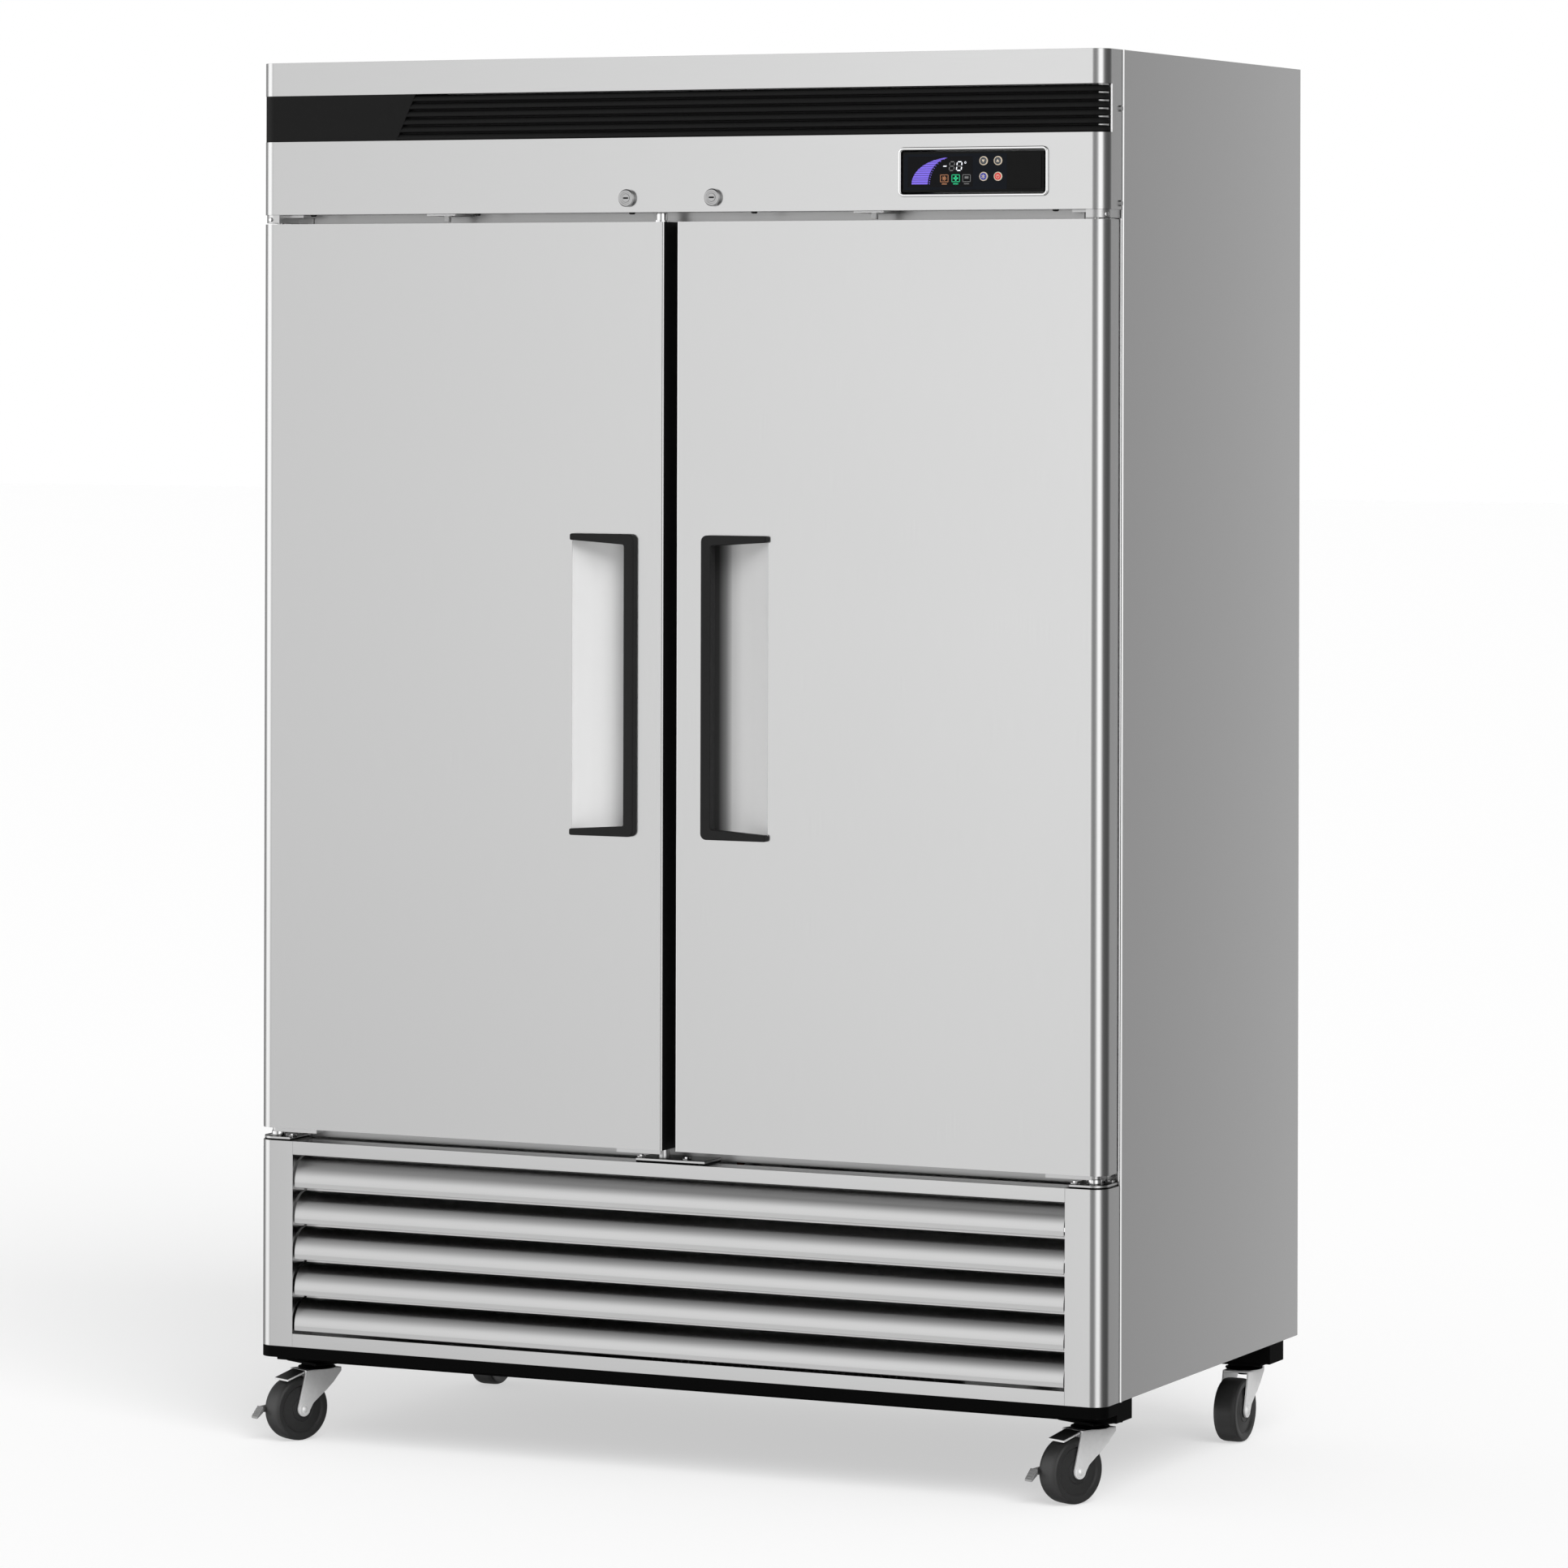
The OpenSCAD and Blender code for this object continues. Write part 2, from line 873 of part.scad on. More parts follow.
module door_core() {
  liner_y = front_y + door_t - sheet;
  difference() {
    union() {
      door_block(door_t - sheet, sheet);
      raised_block(sheet, liner_y - eps, liner_y + panel_raise);
    }
    pocket(sheet);
    bush_bores();
    strike_slot();
  }
}

module door_liner() {
  liner_y = front_y + door_t - sheet;
  difference() {
    union() {
      block([free_x + sheet, liner_y, door_z + sheet],
        [half_w - sheet, liner_y + sheet, door_top_z - sheet]);
      raised_block(0, liner_y, liner_y + panel_raise + sheet);
    }
    raised_block(sheet, liner_y - eps, liner_y + panel_raise);
  }
}

module door_gasket() {
  y0 = front_y + door_t;
  y1 = frame_y - soft_gap;
  x0 = free_x + gasket_inset;
  x1 = half_w - gasket_inset;
  z0 = door_z + gasket_inset;
  z1 = door_top_z - gasket_inset;
  block([x0, y0, z0], [x1, y1, z0 + gasket_w]);
  block([x0, y0, z1 - gasket_w], [x1, y1, z1]);
  block([x0, y0, z0 + gasket_w], [x0 + gasket_w, y1, z1 - gasket_w]);
  block([x1 - gasket_w, y0, z0 + gasket_w], [x1, y1, z1 - gasket_w]);
}

grip_r = 8;
arm_root = 15.5;
arm_tip = 9.5;
grip_back = 5;

// Front outline of a handle, from the grip bar out along the two arms
module handle_face() {
  x0 = handle_x;
  x1 = handle_x + handle_w;
  z = handle_h / 2;
  polygon([[x0, -z + grip_r], [x0 + grip_r, -z], [x1, -z], [x1, -z + arm_tip],
    [x0 + grip_w, -z + arm_root], [x0 + grip_w, z - arm_root], [x1, z - arm_tip], [x1, z],
    [x0 + grip_r, z], [x0, z - grip_r]]);
  for (side = [-1, 1])
    translate([x0 + grip_r, side * (z - grip_r)])
      circle(grip_r);
}

module door_handle() {
  grip_z = pocket_h / 2 - soft_gap;
  translate([0, 0, door_mid_z]) {
    upright(front_y - handle_proud, front_y)
      handle_face();
    block([pocket_x + soft_gap, front_y - handle_proud, -grip_z],
      [handle_x + grip_w, front_y + grip_back, grip_z]);
  }
}

bar_h = 7;
bar_d = 24;
bar_set = 11;
bar_y = front_y + bar_set;
knuckle_d = 18;

module hinge_bush(z) {
  translate([hinge_x, hinge_y, z])
    cylinder(d = bush_d, h = bush_h);
}

module pin_bore() {
  translate([hinge_x, hinge_y, door_z - lower_gap])
    cylinder(d = hinge_pin_d + 2 * run_gap, h = door_h + 2 * lower_gap);
}

module door_fittings() {
  knuckle_h = lower_gap - hinge_plate_t - soft_gap;
  difference() {
    union() {
      hinge_bush(door_top_z - bush_h);
      hinge_bush(door_z);
      block([hinge_x - bar_l, bar_y, door_z - bar_h], [hinge_x, bar_y + bar_d, door_z]);
      translate([hinge_x, hinge_y, door_z - knuckle_h])
        cylinder(d = knuckle_d, h = knuckle_h);
    }
    pin_bore();
  }
}

// Bar and stud that carry the free corner of the left door on the rest plate
module door_rest() {
  stud_x = free_x + rest_stud_d / 2;
  stud_h = lower_gap - hinge_plate_t - soft_gap;
  block([stud_x, bar_y, door_z - bar_h], [stud_x + bar_l, bar_y + bar_d, door_z]);
  translate([stud_x, hinge_y, door_z - stud_h])
    cylinder(d = rest_stud_d, h = stud_h);
}

module right_door_skin() {
  color("silver")
    door_shell();
}

module right_door_core() {
  color("khaki")
    door_core();
}

module right_door_liner() {
  color("gainsboro")
    door_liner();
}

module right_door_gasket() {
  color("dimgray")
    door_gasket();
}

module right_door_handle() {
  color("black")
    door_handle();
}

module right_door_fittings() {
  color("gray")
    door_fittings();
}

module left_door_skin() {
  color("silver")
    mirror([1, 0, 0])
      door_shell();
}

module left_door_core() {
  color("khaki")
    mirror([1, 0, 0])
      door_core();
}

module left_door_liner() {
  color("gainsboro")
    mirror([1, 0, 0])
      door_liner();
}

module left_door_gasket() {
  color("dimgray")
    mirror([1, 0, 0])
      door_gasket();
}

module left_door_handle() {
  color("black")
    mirror([1, 0, 0])
      door_handle();
}

module left_door_fittings() {
  color("gray")
    mirror([1, 0, 0]) {
      door_fittings();
      door_rest();
    }
}

// Grille section

post_x = half_w - post_w;

module corner_posts() {
  depth = frame_y - front_y;
  color("silver")
    both_sides()
      translate([0, 0, body_z])
        linear_extrude(grille_h) {
          intersection() {
            wide_wall(depth, 0, sheet);
            translate([post_x, front_y])
              square([post_w, depth]);
          }
          translate([post_x, front_y])
            square([sheet, depth]);
        }
}

// A channel along X between the posts, open at the back
module rail_channel(z) {
  difference() {
    block([-post_x, front_y, z], [post_x, front_y + blade_d, z + rail_h]);
    block([-post_x - eps, front_y + sheet, z + sheet],
      [post_x + eps, front_y + blade_d + eps, z + rail_h - sheet]);
  }
}

module grille_frame() {
  color("silver") {
    rail_channel(body_z);
    rail_channel(grille_top_z - rail_h);
  }
}

blade_inset = 2;

// Section of a blade: a straight lip, then a quarter round going up and back
module blade_section() {
  r = blade_d - blade_inset;
  square([sheet, blade_lip]);
  translate([r, blade_lip])
    intersection() {
      difference() {
        circle(r);
        circle(r - sheet);
      }
      translate([-r, 0])
        square(r);
    }
}

module grille_blades() {
  first_z = body_z + rail_h;
  pitch = (grille_h - 2 * rail_h) / blade_count;
  lift = (pitch - blade_d + blade_inset - blade_lip) / 2;
  color("silver")
    for (blade = [0:blade_count - 1])
      translate([-post_x, front_y + blade_inset, first_z + lift + blade * pitch])
        rotate([90, 0, 90])
          linear_extrude(2 * post_x)
            blade_section();
}

// Base and casters

pan_t = 1.5;
base_end = 2;
caster_y = [front_y + caster_front, back_y - caster_rear];

module base_frame() {
  skirt_d = caster_front - base_rail_d / 2 - seam;
  color("black") {
    translate([0, 0, body_z - skirt_h])
      linear_extrude(skirt_h)
        intersection() {
          wide_plan(frame_y - front_y, 0);
          translate([-half_w, front_y])
            square([cabinet_w, skirt_d]);
        }
    for (y = caster_y)
      block([-half_w + base_end, y - base_rail_d / 2, caster_h],
        [half_w - base_end, y + base_rail_d / 2, body_z - seam]);
    translate([0, 0, body_z])
      linear_extrude(pan_t)
        between_sides(back_y - sheet);
  }
}

mount_plate = 76;
mount_plate_t = 4;
fork_t = 3;
fork_gap = soft_gap + wheel_w / 2;
crown_r = 30;
crown_clear = 7;
crown_z = wheel_d + crown_clear;
crown_top_z = crown_z + fork_t;
king_d = 12;
king_head_d = 18;
king_head_h = 3;
cap_low_d = 56;
cap_high_d = 46;
axle_z = wheel_d / 2;
axle_x = caster_trail;

module caster_mount() {
  plate_z = caster_h - mount_plate_t;
  translate([0, 0, plate_z + mount_plate_t / 2])
    cube([mount_plate, base_rail_d, mount_plate_t], center = true);
  translate([0, 0, crown_top_z + soft_gap])
    cylinder(d1 = cap_low_d, d2 = cap_high_d, h = plate_z - crown_top_z - soft_gap);
  translate([0, 0, crown_z - soft_gap])
    cylinder(d = king_d, h = plate_z - crown_z);
  translate([0, 0, crown_z - soft_gap - king_head_h])
    cylinder(d = king_head_d, h = king_head_h);
}

module caster_mounts() {
  color("black")
    for (x = [-1, 1], y = caster_y)
      translate([x * (half_w - caster_side), y, 0])
        caster_mount();
}

// Places a caster: column 0 left or 1 right, row 0 front or 1 rear; the wheel trails along +X
module at_caster(column, row) {
  translate([(2 * column - 1) * (half_w - caster_side), caster_y[row], 0])
    rotate([0, 0, -90 - (row == 0 ? caster_turn : 0)])
      children();
}

leg_front = 4;
leg_boss = 11;
leg_back = 24;
leg_shoulder = 22;
leg_rear_z = crown_z - leg_shoulder;
tab_l = 22;
tab_drop = 8;
tab_w = wheel_w;

// Side view of a fork leg
module leg_outline() {
  polygon([[axle_x + leg_boss, axle_z], [axle_x - leg_front, crown_top_z], [-leg_back, crown_top_z],
    [-leg_back, leg_rear_z], [axle_x - leg_boss, axle_z - leg_boss / 4]]);
  translate([axle_x, axle_z])
    circle(leg_boss);
}

module fork(brake) {
  leg_y = fork_gap + fork_t;
  front_x = axle_x - leg_front;
  difference() {
    union() {
      translate([0, 0, crown_z])
        linear_extrude(fork_t)
          intersection() {
            union() {
              circle(crown_r);
              translate([0, -leg_y])
                square([front_x, 2 * leg_y]);
            }
            translate([-crown_r, -leg_y])
              square([2 * crown_r + caster_trail, 2 * leg_y]);
          }
      for (y = [-leg_y, fork_gap])
        upright(y, y + fork_t)
          leg_outline();
      translate([axle_x, 0, axle_z])
        y_rod(axle_d, -leg_y - fork_t, leg_y + fork_t);
      if (brake)
        upright(-tab_w / 2, tab_w / 2)
          polygon([[front_x - fork_t, crown_z], [front_x + tab_l, crown_z - tab_drop],
            [front_x + tab_l, crown_z - tab_drop + fork_t], [front_x - fork_t, crown_top_z]]);
    }
    translate([0, 0, crown_z - eps])
      cylinder(d = king_d + 2 * run_gap, h = fork_t + 2 * eps);
  }
}

wheel_round = 5;
wheel_face = 3;
hub_r = 17;
tread_t = 11;
rim_r = wheel_d / 2 - tread_t;

// Half section of a wheel, radius against distance along the axle
module wheel_section() {
  bore = axle_d / 2 + run_gap;
  r = wheel_d / 2;
  h = wheel_w / 2;
  polygon([[bore, -h], [hub_r, -h], [hub_r + wheel_face, -h + wheel_face],
    [rim_r - wheel_face, -h + wheel_face], [rim_r, -h], [r - wheel_round, -h], [r, -h + wheel_round],
    [r, h - wheel_round], [r - wheel_round, h], [rim_r, h], [rim_r - wheel_face, h - wheel_face],
    [hub_r + wheel_face, h - wheel_face], [hub_r, h], [bore, h]]);
}

module wheel() {
  translate([axle_x, 0, axle_z])
    rotate([-90, 0, 0])
      rotate_extrude()
        wheel_section();
}

lever_t = 3;
lever_r = 9;
lever_clear = 3;
lever_reach = wheel_d / 2 + lever_clear;
foot_l = 16;
foot_w = 26;
foot_drop = 12;

// Foot lever of the brake, hung on the axle outside the left leg
module pedal() {
  y1 = -fork_gap - fork_t - soft_gap;
  y0 = y1 - lever_t;
  difference() {
    union() {
      translate([axle_x, 0, axle_z])
        y_rod(2 * lever_r, y0, y1);
      block([axle_x, y0, axle_z - lever_r / 2], [axle_x + lever_reach, y1, axle_z + lever_r / 2]);
    }
    translate([axle_x, 0, axle_z])
      y_rod(axle_d + 2 * run_gap, y0 - eps, y1 + eps);
  }
  translate([axle_x + lever_reach, 0, axle_z])
    upright(y1 - foot_w / 2, y1 + foot_w / 2)
      polygon([[0, lever_r / 2], [foot_l, -foot_drop], [foot_l, -foot_drop - lever_t], [0, -lever_r / 2]]);
}

module front_left_fork() {
  color("silver")
    at_caster(0, 0)
      fork(true);
}

module front_right_fork() {
  color("silver")
    at_caster(1, 0)
      fork(true);
}

module rear_left_fork() {
  color("silver")
    at_caster(0, 1)
      fork(false);
}

module rear_right_fork() {
  color("silver")
    at_caster(1, 1)
      fork(false);
}

module front_left_wheel() {
  color("black")
    at_caster(0, 0)
      wheel();
}

module front_right_wheel() {
  color("black")
    at_caster(1, 0)
      wheel();
}

module rear_left_wheel() {
  color("black")
    at_caster(0, 1)
      wheel();
}

module rear_right_wheel() {
  color("black")
    at_caster(1, 1)
      wheel();
}

module front_left_pedal() {
  color("silver")
    at_caster(0, 0)
      pedal();
}

module front_right_pedal() {
  color("silver")
    at_caster(1, 0)
      pedal();
}

// Interior

support_w = 18;
support_d = 10;
clip_h = 8;
clip_l = 16;
shelf_bar = 8;
shelf_gap = 4;
shelf_front_y = frame_back_y + support_d + shelf_gap;
shelf_back_y = liner_back_y - support_d - shelf_gap;
shelf_x0 = support_w / 2 + shelf_gap;
shelf_x1 = inner_w - support_d - shelf_gap;
support_foot = 40;
support_top = 20;
support_inset = 50;
support_low_z = opening_z + support_foot;
support_high_z = opening_top_z - support_top;
side_support_y = [shelf_front_y + support_inset, shelf_back_y - support_inset];

function shelf_z(i) = opening_z + shelf_first + i * shelf_pitch;

module shelf(z) {
  depth = shelf_back_y - shelf_front_y;
  wires = floor((shelf_x1 - shelf_x0) / wire_pitch);
  step = (shelf_x1 - shelf_x0 - wire_d) / wires;
  for (y = [shelf_front_y, (shelf_front_y + shelf_back_y - shelf_bar) / 2, shelf_back_y - shelf_bar])
    block([shelf_x0, y, z], [shelf_x1, y + shelf_bar, z + shelf_bar]);
  for (i = [0:wires])
    block([shelf_x0 + i * step, shelf_front_y, z + shelf_bar - wire_d / 2],
      [shelf_x0 + i * step + wire_d, shelf_front_y + depth, z + shelf_bar + wire_d / 2]);
}

module shelves() {
  color("gainsboro")
    both_sides()
      for (i = [0:shelf_count - 1])
        shelf(shelf_z(i));
}

module shelf_supports() {
  color("gray") {
    both_sides()
      for (y = side_support_y) {
        block([inner_w - support_d, y - support_w / 2, support_low_z],
          [inner_w, y + support_w / 2, support_high_z]);
        for (i = [0:shelf_count - 1])
          block([inner_w - support_d - clip_l, y - support_w / 2, shelf_z(i) - clip_h],
            [inner_w - support_d, y + support_w / 2, shelf_z(i) - wire_d / 2 + shelf_bar]);
      }
    for (span = [[frame_back_y, shelf_front_y + shelf_bar], [shelf_back_y - shelf_bar, liner_back_y]]) {
      wall_y = span[0] == frame_back_y ? span[0] : span[1] - support_d;
      block([-support_w / 2, wall_y, support_low_z], [support_w / 2, wall_y + support_d, support_high_z]);
      for (i = [0:shelf_count - 1])
        block([-support_w / 2 - clip_l, span[0], shelf_z(i) - clip_h],
          [support_w / 2 + clip_l, span[1], shelf_z(i)]);
    }
  }
}

// Cooling unit

evap_z = ceiling_z - evaporator_h;
evap_front_gap = 60;
evap_back_gap = 40;
evap_front_y = frame_back_y + evap_front_gap;
evap_back_y = liner_back_y - evap_back_gap;
evap_t = 2;
evap_mid_z = evap_z + evaporator_h / 2;
fan_clear = 5;
hub_d = 40;
hub_l = 24;
shaft_d = 8;
motor_d = 60;
motor_l = 40;
motor_nose = 1;
arm_w = 12;
arm_t = 4;
fan_sink = 4;
fan_blades = 5;
motor_arms = 3;

// Motor on three arms behind a wall whose front face is at y = 0, round an opening of diameter d
module motor_mount(d) {
  arm_y = evap_t + hub_l;
  difference() {
    union() {
      y_rod(motor_d, arm_y - motor_nose, arm_y + motor_l);
      for (i = [0:motor_arms - 1])
        rotate([0, i * 360 / motor_arms, 0]) {
          block([motor_d / 4, arm_y, -arm_w / 2], [d / 2 + arm_w, arm_y + arm_t, arm_w / 2]);
          block([d / 2 + arm_t, evap_t, -arm_w / 2], [d / 2 + arm_w, arm_y, arm_w / 2]);
        }
    }
    y_rod(shaft_d + 2 * run_gap, arm_y - motor_nose - eps, arm_y + motor_l / 2);
  }
}

// Fan that turns in that opening, on a shaft that runs into the motor
module fan(d) {
  blade_angle = 32;
  hub_back_y = evap_t + hub_l - fan_sink;
  blade_t = 2;
  blade_w = hub_l;
  intersection() {
    y_rod(d - 2 * fan_clear, -hub_l, hub_back_y);
    for (i = [0:fan_blades - 1])
      rotate([0, i * 360 / fan_blades, 0])
        translate([0, hub_back_y - hub_l / 2, 0])
          rotate([blade_angle, 0, 0])
            block([0, -blade_t / 2, -blade_w / 2], [d / 2, blade_t / 2, blade_w / 2]);
  }
  y_rod(hub_d, hub_back_y - hub_l, hub_back_y);
  y_rod(shaft_d, hub_back_y, evap_t + hub_l + motor_l / 2 - fan_sink);
}

module evaporator_housing() {
  color("gainsboro") {
    difference() {
      block([-evaporator_w / 2, evap_front_y, evap_z], [evaporator_w / 2, evap_back_y, ceiling_z]);
      block([-evaporator_w / 2 + evap_t, evap_front_y + evap_t, evap_z + evap_t],
        [evaporator_w / 2 - evap_t, evap_back_y + eps, ceiling_z + eps]);
      translate([0, 0, evap_mid_z])
        y_rod(evaporator_fan_d, evap_front_y - eps, evap_front_y + evap_t + eps);
    }
    translate([0, evap_front_y, evap_mid_z])
      motor_mount(evaporator_fan_d);
  }
}

module evaporator_fan() {
  color("dimgray")
    translate([0, evap_front_y, evap_mid_z])
      fan(evaporator_fan_d);
}

fin_t = 2;
fin_pitch = 12;
coil_tubes = 3;
machine_z = body_z + pan_t;
condenser_x0 = compressor_x + condenser_lead;
condenser_set = 110;
condenser_y = front_y + condenser_set;
condenser_mid_x = condenser_x0 + condenser_w / 2;
condenser_mid_z = machine_z + condenser_h / 2;
evap_coil_side = 60;
evap_coil_lift = 60;
evap_coil_d = 120;
evap_coil_w = evaporator_w - 2 * evap_coil_side;
evap_coil_h = evaporator_h - evap_coil_lift;

// Finned block with its low corner at the origin: end plates, fins and rows of tube
module finned_coil(w, d, h) {
  count = floor(w / fin_pitch);
  step = (w - fin_t) / count;
  for (i = [0:count])
    translate([i * step, 0, 0])
      cube([fin_t, d, h]);
  for (row = [0:coil_tubes - 1])
    translate([0, d / 2, h * (row + 0.5) / coil_tubes])
      rotate([0, 90, 0])
        cylinder(d = tube_d, h = w);
}

module finned_coils() {
  color("peru") {
    translate([condenser_x0, condenser_y, machine_z])
      finned_coil(condenser_w, condenser_t, condenser_h);
    translate([-evap_coil_w / 2, evap_back_y - evap_coil_d, ceiling_z - evap_coil_h])
      finned_coil(evap_coil_w, evap_coil_d, evap_coil_h);
  }
}

shroud_d = 60;
shroud_y = condenser_y + condenser_t;
shroud_back_y = shroud_y + shroud_d;

module fan_shroud() {
  high = [condenser_x0 + condenser_w, shroud_back_y, machine_z + condenser_h];
  color("gray") {
    difference() {
      block([condenser_x0, shroud_y, machine_z], high);
      block([condenser_x0 + evap_t, shroud_y - eps, machine_z + evap_t], high - [evap_t, evap_t, evap_t]);
      translate([condenser_mid_x, 0, condenser_mid_z])
        y_rod(condenser_fan_d, shroud_y, shroud_back_y + eps);
    }
    translate([condenser_mid_x, shroud_back_y - evap_t, condenser_mid_z])
      motor_mount(condenser_fan_d);
  }
}

module condenser_fan() {
  color("dimgray")
    translate([condenser_mid_x, shroud_back_y - evap_t, condenser_mid_z])
      fan(condenser_fan_d);
}

compressor_y = 40;
compressor_foot = 22;
foot_edge = 20;
foot_plate = compressor_d + 2 * foot_edge;
foot_plate_t = 4;
foot_d = 30;
foot_inset = 20;
shell_round = 40;

module compressor() {
  shell_z = compressor_foot + foot_plate_t;
  r = compressor_d / 2;
  color("black")
    translate([compressor_x, compressor_y, machine_z]) {
      for (x = [-1, 1], y = [-1, 1])
        translate([x * (foot_plate / 2 - foot_inset), y * (foot_plate / 2 - foot_inset), 0])
          cylinder(d = foot_d, h = compressor_foot);
      translate([-foot_plate / 2, -foot_plate / 2, compressor_foot])
        cube([foot_plate, foot_plate, foot_plate_t]);
      translate([0, 0, shell_z])
        rotate_extrude() {
          square([r, compressor_h - shell_round]);
          translate([0, compressor_h - shell_round])
            square([r - shell_round, shell_round]);
          translate([r - shell_round, compressor_h - shell_round])
            intersection() {
              circle(shell_round);
              square(shell_round);
            }
        }
    }
}

// A tube along a list of points, with round joints
module tube_run(points) {
  for (i = [0:len(points) - 2]) {
    step = points[i + 1] - points[i];
    translate(points[i])
      rotate([0, acos(step.z / norm(step)), atan2(step.y, step.x)])
        cylinder(d = tube_d, h = norm(step));
    if (i > 0)
      translate(points[i])
        sphere(d = tube_d);
  }
}

line_z = machine_z + compressor_foot + foot_plate_t + compressor_h / 2;
tube_lead = 30;

module refrigerant_lines() {
  color("peru") {
    tube_run([[compressor_x + compressor_d / 2, compressor_y, line_z],
      [condenser_x0 - tube_lead, compressor_y, line_z],
      [condenser_x0 - tube_lead, condenser_y + condenser_t / 2, line_z],
      [condenser_x0, condenser_y + condenser_t / 2, line_z]]);
    tube_run([[riser_x, compressor_y + compressor_d / 2, line_z],
      [riser_x, riser_y, line_z],
      [riser_x, riser_y, riser_top_z],
      [riser_x, evap_back_y, riser_top_z]]);
  }
}

light_l = 480;
light_h = 22;
light_d = 12;

module interior_lights() {
  color("white")
    both_sides()
      block([inner_w / 2 + mullion_w / 4 - light_l / 2, frame_back_y, opening_top_z],
        [inner_w / 2 + mullion_w / 4 + light_l / 2, frame_back_y + light_d, opening_top_z + light_h]);
}

gland_side = 170;
gland_x = -half_w + gland_side;
gland_rise = 60;
gland_z = body_z + gland_rise;
gland_d = 22;
gland_flange_d = 34;
gland_flange_t = 4;
gland_l = 16;
gland_bore_d = 10;

module cord_gland() {
  color("black")
    translate([gland_x, 0, gland_z])
      difference() {
        union() {
          y_rod(gland_d, back_y - sheet, back_y + gland_l);
          y_rod(gland_flange_d, back_y, back_y + gland_flange_t);
        }
        y_rod(gland_bore_d, back_y - sheet - eps, back_y + gland_l + eps);
      }
}

side_panels();
back_panel();
top_panel();
insulation();
inner_liner();
front_frame();
header_panel();
header_louvre();
control_bezel();
control_face();
display_window();
control_board();
lock_barrels();
hinge_brackets();
panel_screws();
door_switches();
corner_posts();
grille_frame();
grille_blades();
base_frame();
caster_mounts();
shelves();
shelf_supports();
evaporator_housing();
finned_coils();
interior_lights();
compressor();
fan_shroud();
refrigerant_lines();
cord_gland();
left_door_skin();
left_door_core();
left_door_liner();
left_door_gasket();
left_door_handle();
left_door_fittings();
right_door_skin();
right_door_core();
right_door_liner();
right_door_gasket();
right_door_handle();
right_door_fittings();
left_lock_plug();
right_lock_plug();
up_button();
down_button();
chill_button();
power_button();
condenser_fan();
evaporator_fan();
front_left_fork();
front_right_fork();
rear_left_fork();
rear_right_fork();
front_left_wheel();
front_right_wheel();
rear_left_wheel();
rear_right_wheel();
front_left_pedal();
front_right_pedal();
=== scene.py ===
# %% [markdown]
# # A two-door reach-in refrigerator
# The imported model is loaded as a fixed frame, in metres. Every piece below is placed from that frame,
# either from the box of one of its nodes or from one of its joints, so nothing has to be fitted by eye.

# %% Frame
import json
import math

import bmesh
import bpy
from mathutils import Matrix, Vector


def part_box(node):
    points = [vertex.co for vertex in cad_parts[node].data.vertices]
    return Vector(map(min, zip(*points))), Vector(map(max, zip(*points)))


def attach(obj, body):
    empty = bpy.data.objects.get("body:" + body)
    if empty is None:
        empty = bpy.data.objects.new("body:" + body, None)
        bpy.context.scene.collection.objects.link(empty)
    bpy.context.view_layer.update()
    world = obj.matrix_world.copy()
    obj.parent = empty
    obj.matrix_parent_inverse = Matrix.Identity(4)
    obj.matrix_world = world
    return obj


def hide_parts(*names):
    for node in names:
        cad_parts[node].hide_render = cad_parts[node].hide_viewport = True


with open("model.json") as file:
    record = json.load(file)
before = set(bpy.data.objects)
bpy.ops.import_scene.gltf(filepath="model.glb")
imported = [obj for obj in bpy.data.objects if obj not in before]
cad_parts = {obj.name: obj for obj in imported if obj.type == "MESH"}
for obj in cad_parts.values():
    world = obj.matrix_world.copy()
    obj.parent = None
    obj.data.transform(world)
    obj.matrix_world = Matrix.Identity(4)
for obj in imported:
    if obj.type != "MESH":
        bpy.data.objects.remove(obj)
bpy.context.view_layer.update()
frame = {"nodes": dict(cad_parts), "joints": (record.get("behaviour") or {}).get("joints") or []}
nodes = frame["nodes"]
joints = {joint["name"]: joint for joint in frame["joints"]}
MM = 0.001
header_low, header_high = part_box("header_panel")
FRONT_Y, FRAME_Y = header_low.y, header_high.y
HALF_W = header_high.x
CORNER_R = 23 * MM
HINGE_X, HINGE_Y = HALF_W - CORNER_R, FRONT_Y + CORNER_R

# %% [markdown]
# ## Shared surface effects
# Sheet steel is brushed along one direction, moulded plastic has a fine pebble, and every large sheet has
# slow patches where it was polished a little more. Each effect is one node group that puts out a value
# between 0 and 1 from a noise on Object coordinates, and each material sets its own scale and stretch.

# %% Node groups


def wire(tree, socket, value):
    """Links a socket to another one, or sets it to a plain value."""
    if isinstance(value, bpy.types.NodeSocket):
        tree.links.new(value, socket)
    else:
        socket.default_value = value


def math_node(tree, operation, *values):
    node = tree.nodes.new("ShaderNodeMath")
    node.operation = operation
    for socket, value in zip(node.inputs, values):
        wire(tree, socket, value)
    return node.outputs[0]


def mix_colors(tree, share, first, second, blend="MIX"):
    node = tree.nodes.new("ShaderNodeMix")
    node.data_type = "RGBA"
    node.blend_type = blend
    for name, value in (("Factor", share), ("A", first), ("B", second)):
        wire(tree, node.inputs[name], value)
    return node.outputs["Result"]


def axes(tree, source="Object"):
    """The coordinates of a surface, split into X, Y and Z."""
    place = tree.nodes.new("ShaderNodeTexCoord")
    split = tree.nodes.new("ShaderNodeSeparateXYZ")
    tree.links.new(place.outputs[source], split.inputs[0])
    return split.outputs


